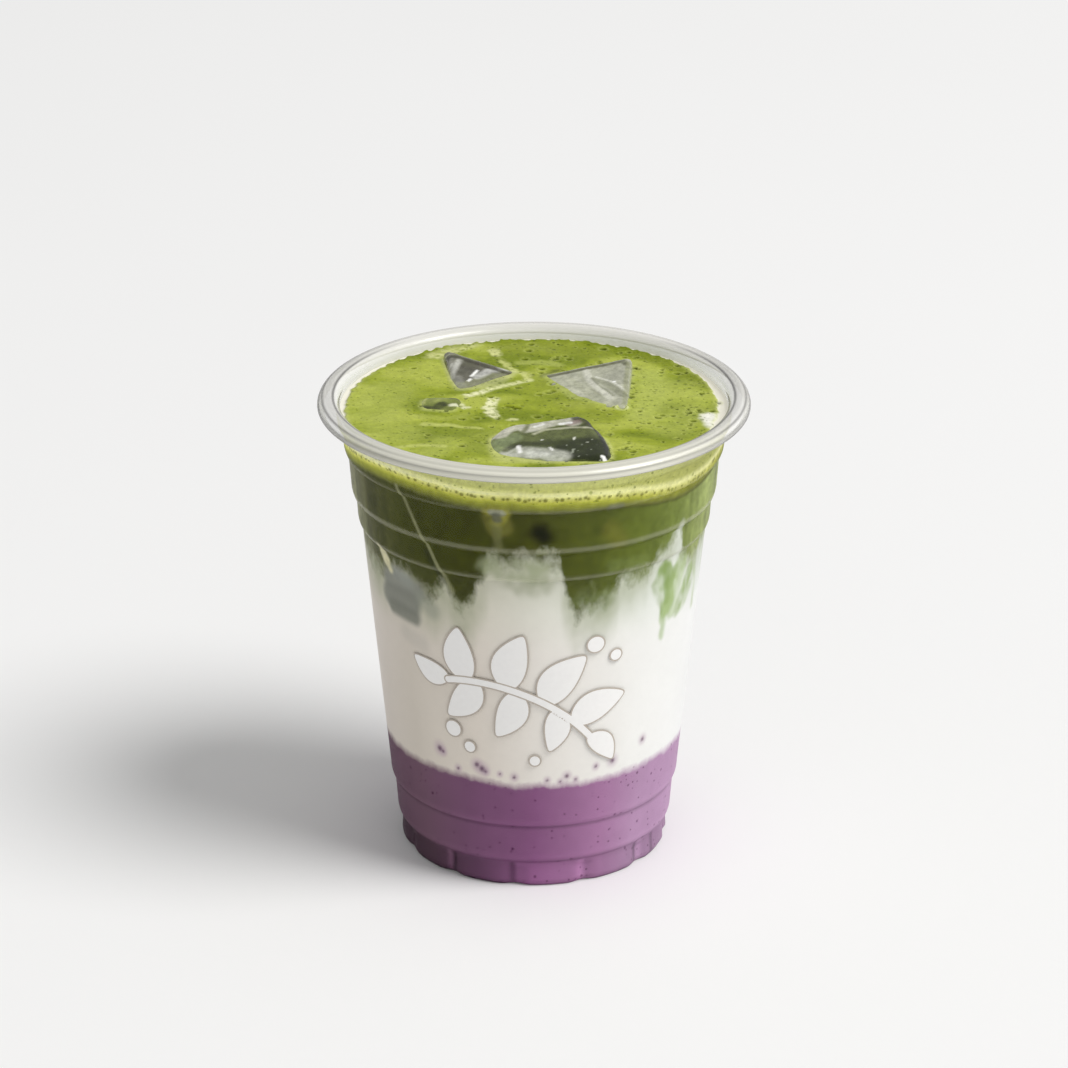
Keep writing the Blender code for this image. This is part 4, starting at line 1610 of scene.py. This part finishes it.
IceStroke = namedtuple("IceStroke", "points width soft colour strength cloud rise", defaults=(0.0,))
WHITE = (252, 252, 248)
ICE_BASE = {
    "ice_front": ((84, 92, 50), 0.6),
    "ice_back_left": ((124, 122, 110), 0.75),
    "ice_back_right": ((186, 187, 167), 0.93),
    "ice_small": ((124, 134, 66), 0.88),
}
ICE_STROKES = {
    "ice_front": (
        # olive strip, dark body at the right, pale foot and green tip at the left
        IceStroke(
            ((-0.9, -23.3), (3.5, -21.9), (8, -22.4), (13.5, -22.5)), 1.2, 2.2, (100, 108, 60),
            0.95, 0.85,
        ),
        IceStroke(((7.9, -28.5), (12.3, -28), (15.1, -32)), 2.6, 2.6, (44, 51, 24), 0.95, 0.9),
        IceStroke(((9.6, -34.3), (13.3, -35.5)), 2.4, 2.0, (38, 44, 20), 0.95, 0.9),
        IceStroke(
            ((-5.2, -29.4), (-0.9, -30), (2.4, -30.9), (5.4, -32.2)), 1.7, 1.8, (188, 190, 176),
            0.95, 0.95,
        ),
        IceStroke(((-1, -30.4), (2.4, -31)), 0.4, 1.6, (212, 214, 204), 0.8, 0.95),
        IceStroke(
            ((-6.4, -28.3), (-4.6, -26.6), (-2, -25.5), (1.3, -26.1), (6.8, -26.2)), 0.3, 1.1,
            (58, 64, 30), 0.85, 0.85,
        ),
        IceStroke(
            ((-9.8, -27.6), (-7.8, -24.9), (-4.8, -22.6)), 1.6, 1.5, (136, 148, 104), 0.9, 0.9,
        ),
        # pale ridge along the far edge, with a dark end and white painted highlights on it
        IceStroke(
            ((-7.6, -20.4), (-6, -18.2), (-4, -17.2), (-1.8, -17)), 1.6, 1.0, (206, 204, 188),
            0.92, 0.95, 0.04,
        ),
        IceStroke(
            ((-1.2, -18.6), (3.6, -16.2), (7, -15.8), (8.8, -16.6)), 1.7, 1.0, (200, 199, 182),
            0.92, 0.95, 0.04,
        ),
        IceStroke(
            ((-2.2, -20.2), (-1.5, -17.6), (-1.3, -15)), 0.15, 0.8, (96, 100, 60), 0.8, 0.85, -0.05,
        ),
        IceStroke(((9.8, -15.2), (11.8, -16.6), (13.4, -18.4)), 1.0, 1.0, (58, 57, 42), 0.92, 0.85),
        IceStroke(((7.8, -17.6), (9.6, -17.1)), 0.5, 0.8, (148, 124, 124), 0.7, 0.85),
        IceStroke(((5.8, -17.6), (8.2, -17.3)), 0.2, 0.5, WHITE, 0.9, 1.0, 0.04),
        IceStroke(((0.2, -18.2), (2.2, -17.2)), 0.15, 0.6, (240, 240, 234), 0.8, 1.0),
        IceStroke(
            ((0, -21.5), (2.2, -19.7), (8, -19.3), (14.2, -20), (15.5, -23.2), (16.1, -26.6)), 0.08,
            0.6, (200, 200, 172), 0.85, 0.9, 0.05,
        ),
        # dark edge at the right
        IceStroke(
            ((8, -13.9), (10.4, -15), (12.3, -16.8), (14.4, -21.4), (15.6, -26.4), (16.7, -37.6)),
            0.35, 0.5, (22, 26, 10), 0.95, 0.9,
        ),
        # highlights and sparks
        IceStroke(((-3.4, -26.9), (-3.1, -29.6)), 0.25, 0.5, WHITE, 0.85, 1.0, 0.05),
        IceStroke(((1.7, -24.5),), 0.12, 0.35, WHITE, 1.0, 1.0, 0.05),
        IceStroke(((3.5, -28.2), (4, -29.2)), 0.12, 0.35, WHITE, 0.9, 1.0, 0.03),
        IceStroke(((8.9, -24), (8.8, -24.9)), 0.08, 0.3, (240, 240, 226), 0.9, 1.0, 0.03),
        IceStroke(((8.6, -29.2), (8.2, -31)), 0.08, 0.3, (190, 196, 176), 0.7, 0.9),
        IceStroke(((11.8, -26.6),), 0.08, 0.3, (220, 222, 206), 0.9, 1.0, 0.03),
        IceStroke(((15.0, -32.8), (15.7, -34.2), (16, -36.4)), 0.3, 0.4, WHITE, 1.0, 1.0, 0.05),
        *(
            IceStroke((spark,), 0.03, 0.2, (196, 202, 184), 0.75, 0.9)
            for spark in (
                (10.5, -27.4), (12.6, -29.8), (9.6, -32.6), (14, -27.6), (11.4, -32.2), (13.6, -31),
                (9.4, -30.2), (13, -25.4), (12.2, -34.6), (10.4, -35.6), (14.4, -34), (7.2, -27.4),
            )
        ),
    ),
    "ice_back_left": (
        # Painted highlight down the left side, a darker middle, pale creases and white painted highlights,
        # and a dark line along the far edge
        IceStroke(((-20.6, 27), (-20.4, 21), (-18.8, 14)), 0.9, 1.7, (174, 172, 162), 0.85, 0.85),
        IceStroke(((-15.5, 24), (-14.4, 20), (-16.5, 17)), 1.5, 2.0, (96, 93, 80), 0.85, 0.7),
        IceStroke(((-12, 24.8), (-9, 23.6)), 1.0, 1.5, (102, 98, 86), 0.8, 0.75),
        IceStroke(((-17.9, 15.9), (-17.2, 13)), 0.8, 1.5, (156, 156, 146), 0.7, 0.85),
        IceStroke(
            ((-17, 25.8), (-18.3, 21.1), (-19.1, 17.2)), 0.2, 1.1, (208, 208, 198), 0.85, 0.9, 0.08,
        ),
        IceStroke(
            ((-13, 17.3), (-10.4, 21.2), (-6.8, 22.6)), 0.6, 1.0, (206, 206, 200), 0.85, 0.9, 0.04,
        ),
        IceStroke(((-13.2, 20.7), (-14.4, 17.4)), 0.15, 0.45, WHITE, 1.0, 1.0, 0.08),
        IceStroke(((-14.5, 15.9), (-14.9, 15)), 0.18, 0.4, WHITE, 0.95, 1.0, 0.05),
        IceStroke(((-20.3, 24.9),), 0.2, 0.6, (236, 236, 228), 0.9, 1.0, 0.05),
        IceStroke(((-19, 23.4), (-19.4, 22)), 0.1, 0.5, (220, 220, 212), 0.7, 0.9),
        IceStroke(((-14.6, 27.2), (-9.5, 25.2)), 0.08, 0.45, (226, 226, 220), 0.8, 0.9),
        IceStroke(
            ((-20.6, 24.8), (-19.9, 27.2), (-18.2, 27), (-12, 23.8), (-4, 19.6)), 0.45, 0.7,
            (66, 62, 52), 0.88, 0.9,
        ),
        IceStroke(((-22, 22), (-19.6, 12), (-17.4, 10.6)), 0.2, 0.6, (150, 150, 132), 0.7, 0.9),
    ),
    "ice_back_right": (
        IceStroke(((19.5, 22), (20.5, 14)), 1.5, 3.0, (172, 173, 155), 0.6, 0.93),
        IceStroke(
            ((10.3, 18), (12, 12.6), (14.7, 6.2)), 0.1, 0.8, (164, 165, 142), 0.6, 0.93, -0.03,
        ),
        IceStroke(((8.2, 17.6), (10, 12.2), (12.8, 5.6)), 0.1, 0.8, (172, 173, 150), 0.5, 0.93),
        IceStroke(
            ((12, 19.6), (12.7, 14.1), (15.4, 7.7), (17.4, 3.1)), 0.35, 0.9, (218, 218, 202), 0.9, 0.95, 0.1,
        ),
        IceStroke(
            ((14.3, 15.3), (16.9, 11.3), (20.2, 4.8)), 0.7, 0.9, (150, 152, 128), 0.85, 0.93, -0.07,
        ),
        IceStroke(
            ((13.2, 15.2), (15.2, 10.4), (18, 4.8)), 0.05, 0.5, (134, 136, 110), 0.7, 0.93, -0.03,
        ),
        IceStroke(
            ((14.1, 16.1), (18.3, 11.9), (21, 6.6)), 0.1, 0.45, (224, 224, 210), 0.9, 0.95, 0.05,
        ),
        IceStroke(((13.4, 23.6), (14.6, 22), (14.2, 20.6)), 0.1, 0.7, (146, 146, 122), 0.6, 0.93),
        # White painted highlight
        IceStroke(((18.4, 12.3),), 0.2, 0.5, WHITE, 1.0, 1.0, 0.04),
        IceStroke(
            ((3, 18.6), (12.1, 21), (20.6, 23.3), (21.2, 21.4)), 0.4, 0.7, (92, 92, 70),
            0.88, 0.95,
        ),
        IceStroke(((21.8, 22.6), (21.1, 12), (20.3, 0)), 0.25, 0.6, (140, 143, 108), 0.7, 0.95),
    ),
    "ice_small": (
        # Dark underside, painted shade
        IceStroke(
            ((-24.8, -1.6), (-22.6, -2.2), (-20.8, -0.4)), 0.7, 1.0, (48, 52, 32), 0.92, 0.85,
        ),
        IceStroke(((-22.8, 1.4), (-20.4, 2.2)), 0.4, 1.2, (152, 160, 88), 0.7, 0.9),
        # Pale rim along the top, painted light
        IceStroke(
            ((-25.2, 1), (-24.6, 4), (-21.3, 5.2), (-17, 4.6)), 0.3, 0.8, (198, 204, 122), 0.8, 0.92,
            0.05,
        ),
        IceStroke(((-18.6, 3), (-17, 2.4)), 0.5, 0.8, (84, 86, 60), 0.75, 0.85),
        IceStroke(((-18.9, -0.9), (-17.6, -0.4)), 0.2, 0.6, (236, 236, 206), 0.85, 0.95, 0.05),
    ),
}


class LATTE_OT_ice(bpy.types.Operator):
    """Wet ice: tilted blocks with melted edges, creases and cloudy parts"""

    bl_idname = "latte.ice"
    bl_label = "Ice"

    def execute(self, context):
        material = ice_material()
        for name, sizes in ICE.items():
            deselect()
            bpy.ops.mesh.primitive_cube_add(size=2.0)
            piece = named(name + "_wet")
            places = places_of(piece) > 0.0
            corner, along, across, down = (np.array(item) for item in sizes[:4])
            share = np.where(places[:, 0] & places[:, 1], sizes.far_share, 1.0)[:, None]
            top = share * (places[:, :1] * along + places[:, 1:2] * across)
            move_to(piece, corner + top + places[:, 2:] * down)
            merge_and_turn_out(piece)
            edit(piece)
            bpy.ops.mesh.bevel(offset=sizes.rounding, segments=4, affect="EDGES")
            leave()
            apply_modifier(piece, "REMESH", mode="VOXEL", voxel_size=context.scene.latte_ice.grain)
            apply_modifier(piece, "SMOOTH", factor=0.5, iterations=6)
            if name == "ice_front":
                self.melt_front(piece)
            self.shape_and_paint(piece, name)
            smooth(piece, 70.0)
            finish_piece(piece, material, name)
        return {"FINISHED"}

    def melt_front(self, piece):
        """Narrow the front ice to its melted outline."""
        places = places_of(piece)
        y = places[:, 1] / MM
        y = y - FRONT_MELT * ease((y + 20.0) / 8.0)
        at, left, right = np.array(FRONT_OUTLINE).T
        left = np.interp(y, at, left)
        right = np.interp(y, at, right)
        share = (places[:, 0] / MM - FRONT_SIDES[0]) / (FRONT_SIDES[1] - FRONT_SIDES[0])
        places[:, 0] = (left + share * (right - left)) * MM
        places[:, 1] = y * MM
        move_to(piece, places)

    def shape_and_paint(self, piece, name):
        """Raise the creases of a piece of ice and paint it."""
        places = places_of(piece)
        normals = normals_of(piece)
        x = places[:, 0] / MM
        y = places[:, 1] / MM
        upper = ease(normals[:, 2] * 2.0)
        swell = grain(places, 0.0055, 3.3)
        fine = grain(places, 0.0014, 8.8)
        base, cloud = ICE_BASE[name]
        colours = np.tile(np.array(linear(base)), (len(places), 1))
        cloudy = np.full(len(places), cloud) + 0.08 * swell
        colours *= (1.0 + 0.25 * swell + 0.15 * fine)[:, None]
        rise = 0.10 * swell + 0.03 * fine
        u = x + 0.25 * swell
        v = y + 0.25 * fine
        for stroke in ICE_STROKES[name]:
            away = distance_to_line(stroke.points, u, v)
            share = stroke.strength * (1.0 - ease((away - stroke.width) / stroke.soft))
            share = share * (1.0 + 0.3 * fine).clip(0.6, 1.0 / stroke.strength)
            lay_over(colours, share, stroke.colour)
            cloudy += share * (stroke.cloud - cloudy)
            rise += share * stroke.rise * upper
        move_to(piece, places + normals * (rise * MM)[:, None])
        paint_on(piece, "ice", colours, np.clip(cloudy, 0.0, 1.0))


# Print: the stem's points, leaves by their place on it from 0 to 1, turn and length, and dots

PRINT_CENTRE_HEIGHT = 49.5
LEAF_ASPECT = 0.54
STEM = ((-20, 3.0), (-11, 3.6), (-2, 1.4), (6, -3.4), (13, -10))
STEM_HALF_WIDTH = 0.75
LEAVES = (
    (0.0, 160, 10.0),
    (0.12, 96, 13.0),
    (0.20, 232, 12.5),
    (0.38, 74, 14.0),
    (0.46, 246, 12.5),
    (0.62, 50, 14.5),
    (0.72, 262, 10.5),
    (0.84, 22, 13.5),
    (1.0, -48, 9.5),
)
DOTS = (
    (-19.5, -9.5, 1.9),
    (-15.4, -13.4, 1.3),
    (13.6, 13.2, 1.9),
    (18.6, 9.6, 1.3),
    (0.2, -15.6, 1.2),
)
# Each part of the print lies this many millimetres over the one before it
PRINT_STEP = 0.002
# How far the outline, a painted shadow round the ink, and the ink lie over the wall
EDGE_LIFT = 0.00002
INK_LIFT = 0.00004


def stem_at(share):
    """Place and slope of the stem, from 0 to 1 along it."""
    numbers = np.arange(len(STEM))
    curves = [np.polyfit(numbers, values, 3) for values in np.array(STEM).T]
    along = np.asarray(share) * (len(STEM) - 1)
    place = [np.polyval(curve, along) for curve in curves]
    slope = [np.polyval(np.polyder(curve), along) for curve in curves]
    return place, slope


class LATTE_OT_print(bpy.types.Operator):
    """Printed sprig on the front of the cup, with a faint line round it, a painted shadow of the ink on the
    drink
    """

    bl_idname = "latte.print"
    bl_label = "Print"

    def execute(self, context):
        look = context.scene.latte_print
        for name, colour, grow, lift, roughness in (
            ("print_shadow_line", look.edge, look.outline / MM, EDGE_LIFT, 0.5),
            ("print_ink", look.ink, 0.0, INK_LIFT, 0.35),
        ):
            parts = [self.leaf(leaf, grow) for leaf in LEAVES]
            parts += [self.dot(dot, grow) for dot in DOTS]
            ends = [(*stem_at(share)[0], STEM_HALF_WIDTH) for share in (0.0, 1.0)]
            parts += [self.dot(end, grow) for end in ends]
            parts.append(self.stem(grow))
            for number, part in enumerate(parts):
                places = places_of(part)
                places[:, 2] = number * PRINT_STEP
                move_to(part, places)
            deselect()
            for part in parts:
                part.select_set(True)
            bpy.context.view_layer.objects.active = parts[0]
            bpy.ops.object.join()
            piece = named(name)
            self.lay_on_wall(piece, lift)
            apply_modifier(piece, "SOLIDIFY", thickness=look.thickness, offset=1.0)
            smooth(piece, 40.0)
            finish_piece(piece, print_material(name, tuple(colour), roughness))
        return {"FINISHED"}

    def disc(self):
        """Flat disc whose faces form a grid."""
        deselect()
        bpy.ops.mesh.primitive_circle_add(vertices=40, radius=1.0)
        piece = bpy.context.object
        edit(piece)
        bpy.ops.mesh.fill_grid(span=10)
        leave()
        return piece

    def leaf(self, leaf, grow):
        """Leaf from its row in the table, grown by a margin."""
        share, turn, length = leaf
        (x, y), _ = stem_at(share)
        piece = self.disc()
        places = places_of(piece)
        along = places[:, 0]
        half = length / 2
        taper = 1.0 - 0.28 * along - 0.22 * along**2
        flat_x = half + along * (half + grow)
        flat_y = places[:, 1] * (half * LEAF_ASPECT * taper + grow) + 0.9 * (1 - along**2)
        angle = math.radians(turn)
        places[:, 0] = x + flat_x * math.cos(angle) - flat_y * math.sin(angle)
        places[:, 1] = y + flat_x * math.sin(angle) + flat_y * math.cos(angle)
        move_to(piece, places)
        return piece

    def dot(self, dot, grow):
        """Dot from its place and radius, grown by a margin."""
        x, y, radius = dot
        piece = self.disc()
        places = places_of(piece)
        places[:, :2] = places[:, :2] * (radius + grow) + (x, y)
        move_to(piece, places)
        return piece

    def stem(self, grow):
        """Curved stem, grown by a margin."""
        deselect()
        bpy.ops.mesh.primitive_grid_add(x_subdivisions=60, y_subdivisions=2, size=2.0)
        piece = bpy.context.object
        places = places_of(piece)
        (x, y), (slope_x, slope_y) = stem_at((places[:, 0] + 1.0) / 2.0)
        side = places[:, 1] * (STEM_HALF_WIDTH + grow) / np.hypot(slope_x, slope_y)
        places[:, 0] = x - side * slope_y
        places[:, 1] = y + side * slope_x
        move_to(piece, places)
        return piece

    def lay_on_wall(self, piece, lift):
        """Bend the flat print, drawn in millimetres, round the wall."""
        places = places_of(piece)
        top_radius, top_height, low_radius, low_height = BANDS[4]
        height = (PRINT_CENTRE_HEIGHT + places[:, 1]) * MM
        share = (height - low_height) / (top_height - low_height)
        radius = low_radius + (top_radius - low_radius) * share + lift + places[:, 2] * MM
        middle = low_radius + (top_radius - low_radius) * 0.5
        turn = places[:, 0] * MM / middle
        places[:, 0] = radius * np.sin(turn)
        places[:, 1] = -radius * np.cos(turn)
        places[:, 2] = height
        move_to(piece, places)
        merge_and_turn_out(piece)
        normals = normals_of(piece)
        if (normals[:, 1] > 0.0).mean() > 0.5:
            edit(piece)
            bpy.ops.mesh.flip_normals()
            leave()


# Stage: the floor's radius, how bright the sky looks, the key light's colour, the camera's sensor
FLOOR_RADIUS = 12.0
SEEN_SKY = 0.9
KEY_COLOUR = (1.0, 0.993, 0.98)
SENSOR_WIDTH = 36.0


class LATTE_OT_stage(bpy.types.Operator):
    """Pale floor, soft light from the right and the camera"""

    bl_idname = "latte.stage"
    bl_label = "Stage"

    def execute(self, context):
        look = context.scene.latte_stage
        deselect()
        bpy.ops.mesh.primitive_circle_add(vertices=128, radius=FLOOR_RADIUS, fill_type="NGON")
        floor = named("floor")
        floor.data.materials.append(floor_material())

        world = bpy.data.worlds.new("soft_sky")
        context.scene.world = world
        world.use_nodes = True
        tree = world.node_tree
        tree.nodes.clear()
        output = tree.nodes.new("ShaderNodeOutputWorld")
        background = tree.nodes.new("ShaderNodeBackground")
        background.inputs["Color"].default_value = (1.0, 1.0, 1.0, 1.0)
        path = tree.nodes.new("ShaderNodeLightPath")
        seen = tree.nodes.new("ShaderNodeMath")
        seen.operation = "MAXIMUM"
        tree.links.new(path.outputs["Is Camera Ray"], seen.inputs[0])
        tree.links.new(path.outputs["Is Transmission Ray"], seen.inputs[1])
        strength = tree.nodes.new("ShaderNodeMapRange")
        strength.inputs["To Min"].default_value = look.sky
        strength.inputs["To Max"].default_value = SEEN_SKY
        tree.links.new(seen.outputs[0], strength.inputs["Value"])
        tree.links.new(strength.outputs[0], background.inputs["Strength"])
        tree.links.new(background.outputs[0], output.inputs["Surface"])

        azimuth = math.radians(look.key_azimuth)
        elevation = math.radians(look.key_elevation)
        towards = Vector(
            (
                math.sin(azimuth) * math.cos(elevation),
                -math.cos(azimuth) * math.cos(elevation),
                math.sin(elevation),
            )
        )
        light = bpy.data.lights.new("key", "AREA")
        light.shape = "DISK"
        light.size = look.key_size
        light.energy = look.key_power
        light.color = KEY_COLOUR
        key = bpy.data.objects.new("key", light)
        key.location = towards * look.key_distance
        key.rotation_euler = towards.to_track_quat("Z", "Y").to_euler()
        context.scene.collection.objects.link(key)

        elevation = math.radians(look.camera_elevation)
        camera = bpy.data.objects.new("camera", bpy.data.cameras.new("camera"))
        camera.data.lens = look.lens
        camera.data.sensor_width = SENSOR_WIDTH
        camera.location = (
            0.0,
            -look.camera_distance * math.cos(elevation),
            look.target_height + look.camera_distance * math.sin(elevation),
        )
        camera.rotation_euler = (math.radians(90.0) - elevation, 0.0, 0.0)
        context.scene.collection.objects.link(camera)
        context.scene.camera = camera
        context.scene.view_settings.view_transform = "Standard"
        context.scene.view_settings.look = "None"
        return {"FINISHED"}


class LATTE_PT_panel(bpy.types.Panel):
    """The pieces of the latte, in the order in which they are made"""

    bl_label = "Iced Latte"
    bl_idname = "LATTE_PT_panel"
    bl_space_type = "VIEW_3D"
    bl_region_type = "UI"
    bl_category = "Latte"

    def draw(self, context):
        for operator in OPERATORS:
            self.layout.operator(operator.bl_idname)
        for group in GROUPS:
            box = self.layout.box()
            settings = getattr(context.scene, group)
            for name in settings.bl_rna.properties.keys():
                if name not in ("rna_type", "name"):
                    box.prop(settings, name)


GROUPS = {
    "latte_cup": LatteCup,
    "latte_colours": LatteColours,
    "latte_drink": LatteDrink,
    "latte_ice": LatteIce,
    "latte_print": LattePrint,
    "latte_stage": LatteStage,
}
OPERATORS = (
    LATTE_OT_stage,
    LATTE_OT_cup,
    LATTE_OT_ice,
    LATTE_OT_froth,
    LATTE_OT_matcha,
    LATTE_OT_milk,
    LATTE_OT_taro,
    LATTE_OT_print,
)


def register():
    for kind in (*GROUPS.values(), *OPERATORS, LATTE_PT_panel):
        bpy.utils.register_class(kind)
    for name, kind in GROUPS.items():
        setattr(bpy.types.Scene, name, bpy.props.PointerProperty(type=kind))


def unregister():
    for name in GROUPS:
        delattr(bpy.types.Scene, name)
    for kind in (LATTE_PT_panel, *OPERATORS[::-1], *GROUPS.values()):
        bpy.utils.unregister_class(kind)


def main():
    register()
    bpy.ops.latte.stage()
    bpy.ops.latte.cup()
    bpy.ops.latte.ice()
    bpy.ops.latte.froth()
    bpy.ops.latte.matcha()
    bpy.ops.latte.milk()
    bpy.ops.latte.taro()
    bpy.ops.latte.print()


if __name__ == "__main__":
    main()
